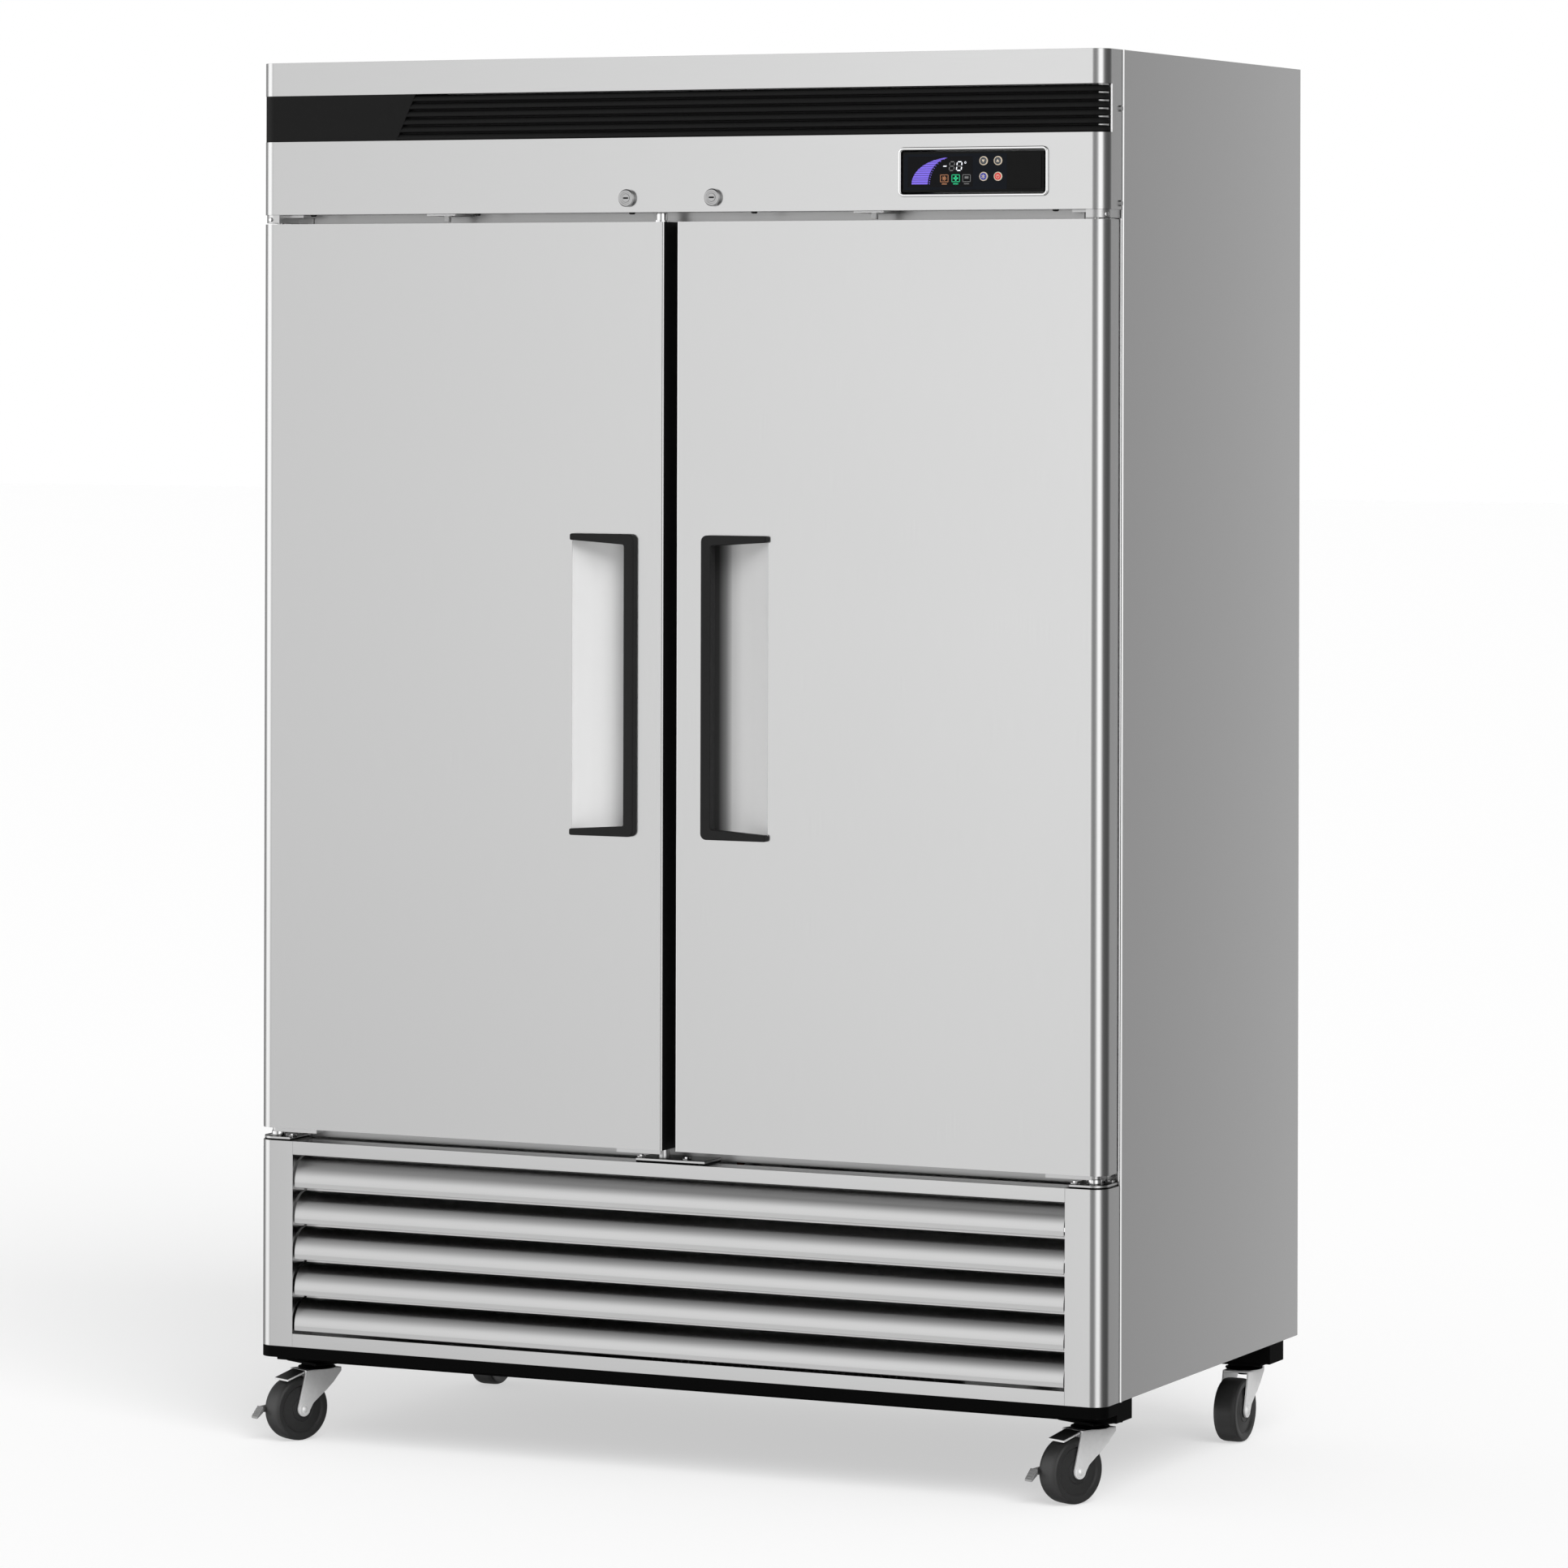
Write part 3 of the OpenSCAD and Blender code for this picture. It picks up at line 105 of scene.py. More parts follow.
def ramp(tree, value, low, high, stops):
    """Grey levels over a value from low to high, with stops in the value's own unit."""
    share = tree.nodes.new("ShaderNodeMapRange")
    for name, number in (("Value", value), ("From Min", low), ("From Max", high)):
        wire(tree, share.inputs[name], number)
    node = tree.nodes.new("ShaderNodeValToRGB")
    elements = node.color_ramp.elements
    while len(elements) < len(stops):
        elements.new(0.5)
    for element, (place, level) in zip(elements, stops):
        element.position = (place - low) / (high - low)
        element.color = (level, level, level, 1)
    tree.links.new(share.outputs["Result"], node.inputs["Fac"])
    return node.outputs["Color"]


def noise_group(name, detail, roughness):
    """A noise on Object coordinates, stretched by a vector."""
    group = bpy.data.node_groups.new(name, "ShaderNodeTree")
    stretch = group.interface.new_socket("Stretch", in_out="INPUT", socket_type="NodeSocketVector")
    stretch.default_value = (1, 1, 1)
    scale = group.interface.new_socket("Scale", in_out="INPUT", socket_type="NodeSocketFloat")
    scale.default_value = 100
    group.interface.new_socket("Value", in_out="OUTPUT", socket_type="NodeSocketFloat")
    enter = group.nodes.new("NodeGroupInput")
    leave = group.nodes.new("NodeGroupOutput")
    place = group.nodes.new("ShaderNodeTexCoord")
    pull = group.nodes.new("ShaderNodeVectorMath")
    pull.operation = "MULTIPLY"
    noise = group.nodes.new("ShaderNodeTexNoise")
    noise.inputs["Detail"].default_value = detail
    noise.inputs["Roughness"].default_value = roughness
    group.links.new(place.outputs["Object"], pull.inputs[0])
    group.links.new(enter.outputs["Stretch"], pull.inputs[1])
    group.links.new(pull.outputs[0], noise.inputs["Vector"])
    group.links.new(enter.outputs["Scale"], noise.inputs["Scale"])
    group.links.new(noise.outputs["Fac"], leave.inputs["Value"])
    return group


grain_group = noise_group("Brushed grain", 3, 0.6)
patch_group = noise_group("Slow patches", 2, 0.5)
print("groups:", [group.name for group in bpy.data.node_groups])

# %% [markdown]
# ## Materials
# One helper builds every finish: a plain shader with its own base colour and roughness, a fine grain that
# tints the colour and lifts a bump, and slow patches that change the roughness. The finishes differ only in
# their values, so they are written as short calls.

# %% Material helper


def linear(value):
    """One screen grey or colour channel from 0 to 255 as scene-linear light."""
    share = value / 255
    return share / 12.92 if share <= 0.04045 else ((share + 0.055) / 1.055) ** 2.4


def group_node(tree, group, stretch, scale):
    node = tree.nodes.new("ShaderNodeGroup")
    node.node_tree = group
    node.inputs["Stretch"].default_value = stretch
    node.inputs["Scale"].default_value = scale
    return node


def finish(name, screen, roughness, metallic=0.0, stretch=(1, 1, 1), scale=400.0, tint=0.06, bump=0.02,
           patch=0.04, coat=0.0, specular=0.5):
    """A material in a screen colour, with a grain of that scale per metre."""
    material = bpy.data.materials.new(name)
    material.use_nodes = True
    tree = material.node_tree
    shader = tree.nodes["Principled BSDF"]
    shader.inputs["Metallic"].default_value = metallic
    shader.inputs["Coat Weight"].default_value = coat
    shader.inputs["Specular IOR Level"].default_value = specular
    color = Vector([linear(v) for v in screen])
    grain = group_node(tree, grain_group, stretch, scale)
    tinted = mix_colors(tree, grain.outputs["Value"], (*(color * (1 - tint)), 1), (*(color * (1 + tint)), 1))
    tree.links.new(tinted, shader.inputs["Base Color"])
    slow = group_node(tree, patch_group, (1, 1, 1), 2.3)
    spread = tree.nodes.new("ShaderNodeMapRange")
    spread.inputs["To Min"].default_value = roughness - patch
    spread.inputs["To Max"].default_value = roughness + patch
    tree.links.new(slow.outputs["Value"], spread.inputs["Value"])
    tree.links.new(spread.outputs["Result"], shader.inputs["Roughness"])
    lift = tree.nodes.new("ShaderNodeBump")
    lift.inputs["Strength"].default_value = bump
    lift.inputs["Distance"].default_value = MM
    tree.links.new(grain.outputs["Value"], lift.inputs["Height"])
    tree.links.new(lift.outputs["Normal"], shader.inputs["Normal"])
    return material


def grey(value):
    return (value, value, value)


ALONG_X, ALONG_Z = (0.02, 1, 1), (1, 1, 0.02)
steel = dict(roughness=0.2, metallic=1.0, scale=700, tint=0.025, bump=0.012, patch=0.015)
stainless_upright = finish("stainless_upright", grey(198), stretch=ALONG_Z, **steel)
stainless_level = finish("stainless_level", grey(198), stretch=ALONG_X, **steel)
blade_steel = finish("blade_steel", grey(200), stretch=ALONG_X, **{**steel, "roughness": 0.28})
galvanised = finish("galvanised", grey(195), 0.4, 0.6, scale=60, tint=0.12, bump=0.02)
foam = finish("rigid_foam", (222, 205, 150), 0.8, scale=900, tint=0.15, bump=0.3)
foam_skin = finish("foam_skin", grey(34), 0.7, scale=500, tint=0.15, specular=0.1)
liner_sheet = finish("liner_sheet", grey(212), 0.34, 1.0, stretch=ALONG_Z, scale=500, tint=0.05)
lining_grey = finish("lining_grey", grey(218), 0.42, 0.25, scale=500, tint=0.04, bump=0.03)
frame_plastic = finish("frame_plastic", grey(182), 0.3, 0.85, stretch=ALONG_X, scale=600, tint=0.06)
louvre_black = finish("louvre_black", grey(17), 0.5, scale=1400, tint=0.35, bump=0.25, specular=0.14)
chrome = finish("chrome", grey(235), 0.06, 1.0, scale=300, tint=0.01, bump=0.0, patch=0.01)
control_black = finish("control_black", grey(11), 0.4, scale=1500, tint=0.3, bump=0.1, specular=0.12)
board_green = finish("board_green", (20, 90, 50), 0.5, scale=300, tint=0.2)
hinge_steel = finish("hinge_steel", grey(200), 0.3, 1.0, stretch=ALONG_X, scale=600, tint=0.06)
lock_nickel = finish("lock_nickel", grey(172), 0.22, 1.0, scale=400, tint=0.04, bump=0.0)
screw_steel = finish("screw_steel", grey(190), 0.28, 1.0, scale=500, tint=0.08)
white_plastic = finish("white_plastic", grey(232), 0.45, scale=800, tint=0.03, bump=0.05)
base_black = finish("base_black", grey(4), 0.6, scale=700, tint=0.2, bump=0.1, specular=0.04)
shelf_coat = finish("shelf_coat", grey(222), 0.35, scale=600, tint=0.04, bump=0.08)
upright_steel = finish("upright_steel", grey(190), 0.33, 1.0, stretch=ALONG_Z, scale=500)
case_aluminium = finish("case_aluminium", grey(205), 0.36, 1.0, scale=250, tint=0.05)
fin_aluminium = finish("fin_aluminium", grey(195), 0.4, 1.0, scale=300, tint=0.08)
compressor_black = finish("compressor_black", grey(30), 0.35, scale=500, tint=0.2, bump=0.1)
shroud_grey = finish("shroud_grey", grey(120), 0.45, scale=500, tint=0.1)
copper = finish("copper", (128, 84, 64), 0.45, 1.0, scale=300, tint=0.15)
gland_black = finish("gland_black", grey(28), 0.6, scale=900, tint=0.2, bump=0.1)
gasket_grey = finish("gasket_grey", grey(62), 0.6, scale=700, tint=0.12, bump=0.08)
handle_black = finish("handle_black", grey(25), 0.5, scale=1300, tint=0.6, bump=0.4, specular=0.2)
fan_black = finish("fan_black", grey(36), 0.45, scale=600, tint=0.15)
zinc_dull = finish("zinc_dull", grey(150), 0.35, 0.6, scale=180, tint=0.07, bump=0.03)
zinc = finish("zinc", grey(226), 0.34, 0.35, scale=180, tint=0.07, bump=0.03)
wheel_black = finish("wheel_black", grey(40), 0.42, scale=500, tint=0.14, bump=0.08, specular=0.45)
print("materials:", len(bpy.data.materials))

# %% [markdown]
# The door skin is one node with three finishes: brushed steel on the face, a satin cup in the finger pocket
# and a near-black edge in the gap between the doors. The cup's grey is painted shade by the grip and painted light
# across its middle, and the black edge is painted shade in the gap. The pocket lies behind the front plane and the
# edge close to the middle plane, so two masks from Object coordinates tell them apart, whichever door it is.

# %% Door finish
# The free edges within a set distance of the middle are painted near black: painted shade in the gap between the
# doors.
POCKET_START, GAP_SHADE_X = 0.25 * MM, 10.7 * MM
# Grey levels across the pocket by distance from the middle: the fall to black by the grip is painted shade, and the
# rise in its middle is painted light that offsets the grip's shadow.
POCKET_PAINTED_SHADE_AND_LIGHT = [(64, 0.04), (76, 0.3), (87, 0.9), (107, 0.96), (129, 0.86), (150, 0.82)]
POCKET_GREY, GAP_SHADE_GREY, SATIN_ROUGH = 231, 3, 0.35


def mask_group():
    """Masks of the pocket and of the free edge of a door, and the painted shade and light across the pocket."""
    group = bpy.data.node_groups.new("Door zones", "ShaderNodeTree")
    for name in ("Pocket", "Edge", "Shade"):
        group.interface.new_socket(name, in_out="OUTPUT", socket_type="NodeSocketFloat")
    leave = group.nodes.new("NodeGroupOutput")
    place = axes(group)
    off_middle = math_node(group, "ABSOLUTE", place["X"])
    low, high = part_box("right_door_handle")
    pocket = math_node(group, "GREATER_THAN", place["Y"], FRONT_Y + POCKET_START)
    for operation, source, limit in (("GREATER_THAN", off_middle, low.x), ("LESS_THAN", off_middle, high.x),
                                     ("GREATER_THAN", place["Z"], low.z), ("LESS_THAN", place["Z"], high.z)):
        pocket = math_node(group, "MULTIPLY", pocket, math_node(group, operation, source, limit))
    group.links.new(pocket, leave.inputs["Pocket"])
    group.links.new(math_node(group, "LESS_THAN", off_middle, GAP_SHADE_X), leave.inputs["Edge"])
    # Painted shade and light across the pocket, as a ramp on the distance from the middle.
    levels = [(x * MM, level) for x, level in POCKET_PAINTED_SHADE_AND_LIGHT]
    group.links.new(ramp(group, off_middle, 0, high.x, levels), leave.inputs["Shade"])
    return group


def zoned(material):
    """Adds the pocket and edge zones to a steel material: the pocket's painted shade and light, and the edge's
    painted shade.
    """
    tree = material.node_tree
    shader = tree.nodes["Principled BSDF"]
    zones = tree.nodes.new("ShaderNodeGroup")
    zones.node_tree = mask_group()
    # The pocket's grey is scaled by the painted shade and light levels.
    cup = mix_colors(tree, zones.outputs["Shade"], (0, 0, 0, 1), (*[linear(POCKET_GREY)] * 3, 1))
    color = shader.inputs["Base Color"].links[0].from_socket
    color = mix_colors(tree, zones.outputs["Pocket"], color, cup)
    # The free edge takes the near-black painted shade of the gap.
    color = mix_colors(tree, zones.outputs["Edge"], color, (*[linear(GAP_SHADE_GREY)] * 3, 1))
    tree.links.new(color, shader.inputs["Base Color"])
    either = math_node(tree, "MAXIMUM", zones.outputs["Pocket"], zones.outputs["Edge"])
    tree.links.new(math_node(tree, "SUBTRACT", 1, either), shader.inputs["Metallic"])
    rough = shader.inputs["Roughness"].links[0].from_socket
    tree.links.new(math_node(tree, "MULTIPLY_ADD", either, SATIN_ROUGH, rough), shader.inputs["Roughness"])
    return material


stainless_door = zoned(finish("stainless_door", grey(198), stretch=ALONG_Z, **steel))
print("door finish:", len(stainless_door.node_tree.nodes), "nodes")

# %% [markdown]
# The hinge brackets are one node too: bright steel above the doors, and plates on top of the grille painted near
# black as painted shade under the doors, with a bare steel band on their sheared edge. Masks by height tell them
# apart.

# %% Hinge finish
PLATE_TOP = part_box("grille_frame")[1].z + 6 * MM
BARE_DOWN, BARE_HALF, PLATE_SHADE_GREY = 2.1 * MM, 1.4 * MM, 10
hinge_split = hinge_steel.copy()
hinge_split.name = "hinge_split"
tree = hinge_split.node_tree
shader = tree.nodes["Principled BSDF"]
height = axes(tree)["Z"]
above = math_node(tree, "GREATER_THAN", height, PLATE_TOP)
sheared = math_node(tree, "COMPARE", height, PLATE_TOP - BARE_DOWN, BARE_HALF)
bare = math_node(tree, "MAXIMUM", above, sheared)
bright = shader.inputs["Base Color"].links[0].from_socket
# Below the plate top the brackets are painted near black: painted shade under the doors. Only the sheared band stays
# bright steel.
plates_with_painted_shade = mix_colors(tree, bare, (*[linear(PLATE_SHADE_GREY)] * 3, 1), bright)
tree.links.new(plates_with_painted_shade, shader.inputs["Base Color"])
print("hinge finish: plates below", round(PLATE_TOP, 3))

# %% [markdown]
# ## Finishes on the frame's own nodes
# A node whose shape is right stays and only takes a material. Its mesh is loose triangles, so a small
# geometry-node modifier merges them and marks as sharp only the edges that turn by more than 30 degrees:
# bent sheet then shades round while folds stay crisp. A bevel on the sheet pieces gives the thin light line
# that real edges show.

# %% Smoothing modifier
smooth_group = bpy.data.node_groups.new("Merge and smooth", "GeometryNodeTree")
smooth_group.interface.new_socket("Geometry", in_out="INPUT", socket_type="NodeSocketGeometry")
smooth_group.interface.new_socket("Geometry", in_out="OUTPUT", socket_type="NodeSocketGeometry")
enter = smooth_group.nodes.new("NodeGroupInput")
leave = smooth_group.nodes.new("NodeGroupOutput")
merge = smooth_group.nodes.new("GeometryNodeMergeByDistance")
merge.inputs["Distance"].default_value = 0.01 * MM
faces = smooth_group.nodes.new("GeometryNodeSetShadeSmooth")
folds = smooth_group.nodes.new("GeometryNodeSetShadeSmooth")
folds.domain = "EDGE"
folds.inputs["Shade Smooth"].default_value = False
turn = smooth_group.nodes.new("GeometryNodeInputMeshEdgeAngle")
steep = smooth_group.nodes.new("FunctionNodeCompare")
steep.inputs["B"].default_value = math.radians(30)
chain = [enter, merge, faces, folds, leave]
for first, second in zip(chain, chain[1:]):
    smooth_group.links.new(first.outputs["Geometry"], second.inputs["Geometry"])
smooth_group.links.new(turn.outputs["Unsigned Angle"], steep.inputs["A"])
smooth_group.links.new(steep.outputs["Result"], folds.inputs["Selection"])


def even_normals(obj):
    """Lets large faces rule the shading, so that a flat sheet stays flat up to its bevel."""
    even = obj.modifiers.new("Even normals", "WEIGHTED_NORMAL")
    even.keep_sharp = True


def dress(node, material, bevel=0.0):
    """Gives a frame node its finish and its smooth shading, and a bevel on its folds where asked."""
    obj = nodes[node]
    obj.data.materials.clear()
    obj.data.materials.append(material)
    if bevel:
        weld = obj.modifiers.new("Weld", "WELD")
        weld.merge_threshold = 0.01 * MM
        flat = obj.modifiers.new("Flat faces", "DECIMATE")
        flat.decimate_type = "DISSOLVE"
        flat.angle_limit = math.radians(0.5)
        edge = obj.modifiers.new("Edges", "BEVEL")
        edge.width = bevel
        edge.segments = 2
        edge.limit_method = "ANGLE"
        edge.angle_limit = math.radians(40)
    obj.modifiers.new("Smooth", "NODES").node_group = smooth_group
    even_normals(obj)


print("smoothing:", len(smooth_group.nodes), "nodes")

# %% [markdown]
# Every node that is shown as it is gets one finish. The nodes are listed by finish, and the folded sheets and
# the mouldings have the radius of their edges in a second list, in millimetres.

# %% Finishes of the nodes
finishes = {
    stainless_upright: "side_panels corner_posts",
    stainless_door: "left_door_skin right_door_skin",
    stainless_level: "header_panel grille_frame",
    galvanised: "back_panel top_panel",
    foam_skin: "insulation",
    foam: "left_door_core right_door_core",
    liner_sheet: "inner_liner",
    frame_plastic: "front_frame",
    control_black: "control_face",
    board_green: "control_board",
    lock_nickel: "left_lock_plug right_lock_plug",
    hinge_split: "hinge_brackets",
    hinge_steel: "left_door_fittings right_door_fittings",
    screw_steel: "panel_screws",
    white_plastic: "door_switches interior_lights",
    base_black: "base_frame",
    upright_steel: "shelf_supports",
    case_aluminium: "evaporator_housing",
    fin_aluminium: "finned_coils",
    compressor_black: "compressor",
    shroud_grey: "fan_shroud",
    copper: "refrigerant_lines",
    gland_black: "cord_gland",
    fan_black: "condenser_fan evaporator_fan",
}
EDGE_BEVELS = {
    "side_panels": 0.4, "left_door_skin": 0.5, "right_door_skin": 0.5, "corner_posts": 0.4, "header_panel": 0.4,
    "grille_frame": 0.4, "base_frame": 2.0, "front_frame": 1.5, "hinge_brackets": 0.8, "door_switches": 0.8,
    "interior_lights": 3.0, "left_door_fittings": 0.6, "right_door_fittings": 0.6, "panel_screws": 0.4,
    "control_face": 0.3, "left_lock_plug": 0.3, "right_lock_plug": 0.3, "cord_gland": 1.0,
}
for material, names in finishes.items():
    for node in names.split():
        dress(node, material, EDGE_BEVELS.get(node, 0) * MM)
print("dressed nodes:", sum(len(names.split()) for names in finishes.values()))

# %% [markdown]
# ## Making a piece
# The other pieces are modelled here. A piece starts as a bmesh, gets its shape from operators, and is turned
# into an object that stands at the origin, rides on its body and stands for the node that it replaces.

# %% Piece helpers


def piece(name, bm, body, materials, replaces=(), sharp=35):
    """Turns a bmesh into a finished piece on a body, shaded round below the sharp angle."""
    bmesh.ops.remove_doubles(bm, verts=bm.verts, dist=0.002 * MM)
    bmesh.ops.recalc_face_normals(bm, faces=bm.faces)
    mesh = bpy.data.meshes.new(name)
    bm.to_mesh(mesh)
    bm.free()
    mesh.polygons.foreach_set("use_smooth", [True] * len(mesh.polygons))
    mesh.set_sharp_from_angle(angle=math.radians(sharp))
    for material in materials:
        mesh.materials.append(material)
    obj = bpy.data.objects.new(name, mesh)
    bpy.context.scene.collection.objects.link(obj)
    even_normals(obj)
    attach(obj, body)
    if replaces:
        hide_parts(*replaces)
    print("piece:", name, len(mesh.polygons), "faces")


def facing_front(x, y, z):
    """Frame of a flat drawing that faces the front: across is X, up is Z, and out is towards the viewer."""
    return Matrix(((1, 0, 0, x), (0, 0, -1, y), (0, 1, 0, z), (0, 0, 0, 1)))


def across(x, y, z):
    """Frame of a section drawn in Y and Z that is pushed out along X."""
    return Matrix(((0, 0, 1, x), (1, 0, 0, y), (0, 1, 0, z), (0, 0, 0, 1)))


def new_faces(bm, before, index):
    """Marks the faces made since with a material index."""
    for face in set(bm.faces) - before:
        face.material_index = index


def bevel(bm, geom, offset, segments=2, affect="EDGES"):
    return bmesh.ops.bevel(bm, geom=geom, offset=offset, segments=segments, profile=0.5, affect=affect,
                           material=-1, clamp_overlap=True)


def block(bm, low, high, edge=0.0, index=0):
    """A box between two corners, with rounded edges."""
    before = set(bm.faces)
    low, high = Vector(low), Vector(high)
    verts = bmesh.ops.create_cube(bm, size=1)["verts"]
    bmesh.ops.scale(bm, vec=high - low, verts=verts)
    bmesh.ops.translate(bm, vec=(low + high) / 2, verts=verts)
    if edge:
        bevel(bm, list({e for v in verts for e in v.link_edges}), edge)
    new_faces(bm, before, index)


def prism(bm, outline, depth, place, rounds=None, edge=0.0, index=0, segments=4):
    """A flat outline pushed out by depth in the frame of place. Rounds gives the cut at each corner by its place
    in the outline, and edge softens the front."""
    before = set(bm.faces)
    verts = [bm.verts.new((u, v, 0)) for u, v in outline]
    bm.faces.new(verts)
    for cut in sorted(set((rounds or {}).values())):
        bevel(bm, [verts[i] for i in rounds if rounds[i] == cut], cut, segments, "VERTICES")
    base = list(set(bm.faces) - before)
    pushed = bmesh.ops.extrude_face_region(bm, geom=base)["geom"]
    lid = [g for g in pushed if isinstance(g, bmesh.types.BMVert)]
    bmesh.ops.translate(bm, vec=(0, 0, depth), verts=lid)
    if edge:
        rim = [g for g in pushed if isinstance(g, bmesh.types.BMEdge)]
        bevel(bm, rim, edge, 3)
    made = set(bm.faces) - before
    bmesh.ops.transform(bm, matrix=place, verts=list({v for face in made for v in face.verts}))
    new_faces(bm, before, index)


def corners(x0, z0, x1, z1):
    return [(x0, z0), (x1, z0), (x1, z1), (x0, z1)]


def rectangle(width, height):
    return corners(-width / 2, -height / 2, width / 2, height / 2)


def in_mm(points):
    return [(u * MM, v * MM) for u, v in points]


def turned(bm, profile, place, steps=48, index=0):
    """A profile of radius and height turned once round the axis of place."""
    before = set(bm.faces)
    verts = [bm.verts.new((radius, 0, height)) for radius, height in profile]
    edges = [bm.edges.new(pair) for pair in zip(verts, verts[1:])]
    bmesh.ops.spin(bm, geom=verts + edges, cent=(0, 0, 0), axis=(0, 0, 1), angle=math.tau, steps=steps,
                   use_merge=True)
    made = set(bm.faces) - before
    bmesh.ops.transform(bm, matrix=place, verts=list({v for face in made for v in face.verts}))
    new_faces(bm, before, index)


print("nodes left to model:", len(nodes) - sum(len(names.split()) for names in finishes.values()))

# %% [markdown]
# ## Handles
# A handle is a black moulding round a finger pocket: a grip bar with an arm at each end that thins towards
# its tip. One outline gives all three, so it is drawn once, its corners are rounded by a vertex bevel, and the
# front edge by an edge bevel. A second bar behind the grip reaches into the pocket.

# %% Handles
GRIP_W, ARM_ROOT, ARM_TIP, GRIP_BACK, ARM_SHORT = 16 * MM, 15.5 * MM, 9.5 * MM, 8 * MM, 4 * MM
CORNER_CUTS = {0: 9 * MM, 7: 9 * MM, 1: 3 * MM, 2: 2 * MM, 5: 2 * MM, 6: 3 * MM, 3: 3 * MM, 4: 3 * MM}


def handle():
    low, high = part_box("right_door_handle")
    mid, tall, far = (low.z + high.z) / 2, (high.z - low.z) / 2, high.x - low.x - ARM_SHORT
    outline = [(0, -tall), (far, -tall), (far, -tall + ARM_TIP), (GRIP_W, -tall + ARM_ROOT),
               (GRIP_W, tall - ARM_ROOT), (far, tall - ARM_TIP), (far, tall), (0, tall)]
    bm = bmesh.new()
    place = facing_front(low.x, FRONT_Y, mid)
    prism(bm, outline, FRONT_Y - low.y, place, CORNER_CUTS, edge=2.2 * MM, segments=6)
    inner = tall - ARM_ROOT / 2
    block(bm, (low.x + 2.3 * MM, low.y + 3 * MM, mid - inner),
          (low.x + GRIP_W - 0.2 * MM, FRONT_Y + GRIP_BACK, mid + inner), 2 * MM)
    return bm


for side in ("left", "right"):
    bm = handle()
    if side == "left":
        bmesh.ops.scale(bm, vec=(-1, 1, 1), verts=bm.verts)
    piece(f"{side}_handle_moulding", bm, f"{side}_door", [handle_black], [f"{side}_door_handle"])

# %% [markdown]
# ## Louvre strip
# The black strip in the header is a moulding of six round-nosed slats that runs along the front and round the
# right corner, with a plain plate at its left end. The section of all slats is one chain of edges. It is
# pushed along X, spun round the corner, and cut off along the slanted end of the plate. At the right end a
# light zinc rib between the slats and a zinc lip of the header beyond them stand in for glints: painted highlights.

# %% Louvre strip
LOUVRE_RIM, SLATS, SLAT_DEPTH = 4 * MM, 6, 7 * MM
louvre_low, louvre_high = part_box("header_louvre")
LOUVRE_Z, LOUVRE_TOP = louvre_low.z + LOUVRE_RIM, louvre_high.z - LOUVRE_RIM
PITCH = (LOUVRE_TOP - LOUVRE_Z) / SLATS
PLATE_X, PLATE_LEAN = 457 * MM, 32 * MM
LOUVRE_TURN, RIB_START, RIB_R, LIP_RUN = math.radians(80), math.radians(22), 16.9 * MM, (-2.2 * MM, -1.1 * MM, 0)
SLAT_NOSE = [(1.0, 0.0), (0.25, 0.04), (0.1, 0.16), (0.12, 0.34), (0.25, 0.56), (0.5, 0.76), (1.0, 0.86)]


def edge_chain(bm, points):
    verts = [bm.verts.new(point) for point in points]
    return verts + [bm.edges.new(pair) for pair in zip(verts, verts[1:])]


def push_edges(bm, chain, vector):
    """Pushes a chain of edges out into a sheet, and returns the new chain."""
    edges = [g for g in chain if isinstance(g, bmesh.types.BMEdge)]
    made = bmesh.ops.extrude_edge_only(bm, edges=edges)["geom"]
    verts = [g for g in made if isinstance(g, bmesh.types.BMVert)]
    bmesh.ops.translate(bm, vec=vector, verts=verts)
    return [g for g in made if not isinstance(g, bmesh.types.BMFace)]


def louvre():
    bm = bmesh.new()
    section = [(-PLATE_X, FRONT_Y + depth * SLAT_DEPTH, LOUVRE_Z + (i + rise) * PITCH)
               for i in range(SLATS) for depth, rise in SLAT_NOSE]
    end = push_edges(bm, edge_chain(bm, section), (HINGE_X + PLATE_X, 0, 0))
    bmesh.ops.spin(bm, geom=end, cent=(HINGE_X, HINGE_Y, 0), axis=(0, 0, 1), angle=LOUVRE_TURN, steps=12)
    tall = LOUVRE_TOP - LOUVRE_Z
    bmesh.ops.bisect_plane(bm, geom=[*bm.verts, *bm.edges, *bm.faces], plane_co=(-PLATE_X, 0, LOUVRE_Z),
                           plane_no=(-tall, 0, PLATE_LEAN), clear_outer=True)
    return bm


def plate():
    bm = bmesh.new()
    face_y = FRONT_Y + 0.6 * MM
    chain = edge_chain(bm, [(-PLATE_X, face_y, LOUVRE_Z), (-PLATE_X + PLATE_LEAN, face_y, LOUVRE_TOP)])
    push_edges(bm, chain, (0, SLAT_DEPTH, 0))
    end = push_edges(bm, chain, (0, 0, 0))
    for vert in (g for g in end if isinstance(g, bmesh.types.BMVert)):
        vert.co.x = -HINGE_X
    bmesh.ops.spin(bm, geom=end, cent=(-HINGE_X, HINGE_Y, 0), axis=(0, 0, 1), angle=-math.pi / 2, steps=12)
    return bm


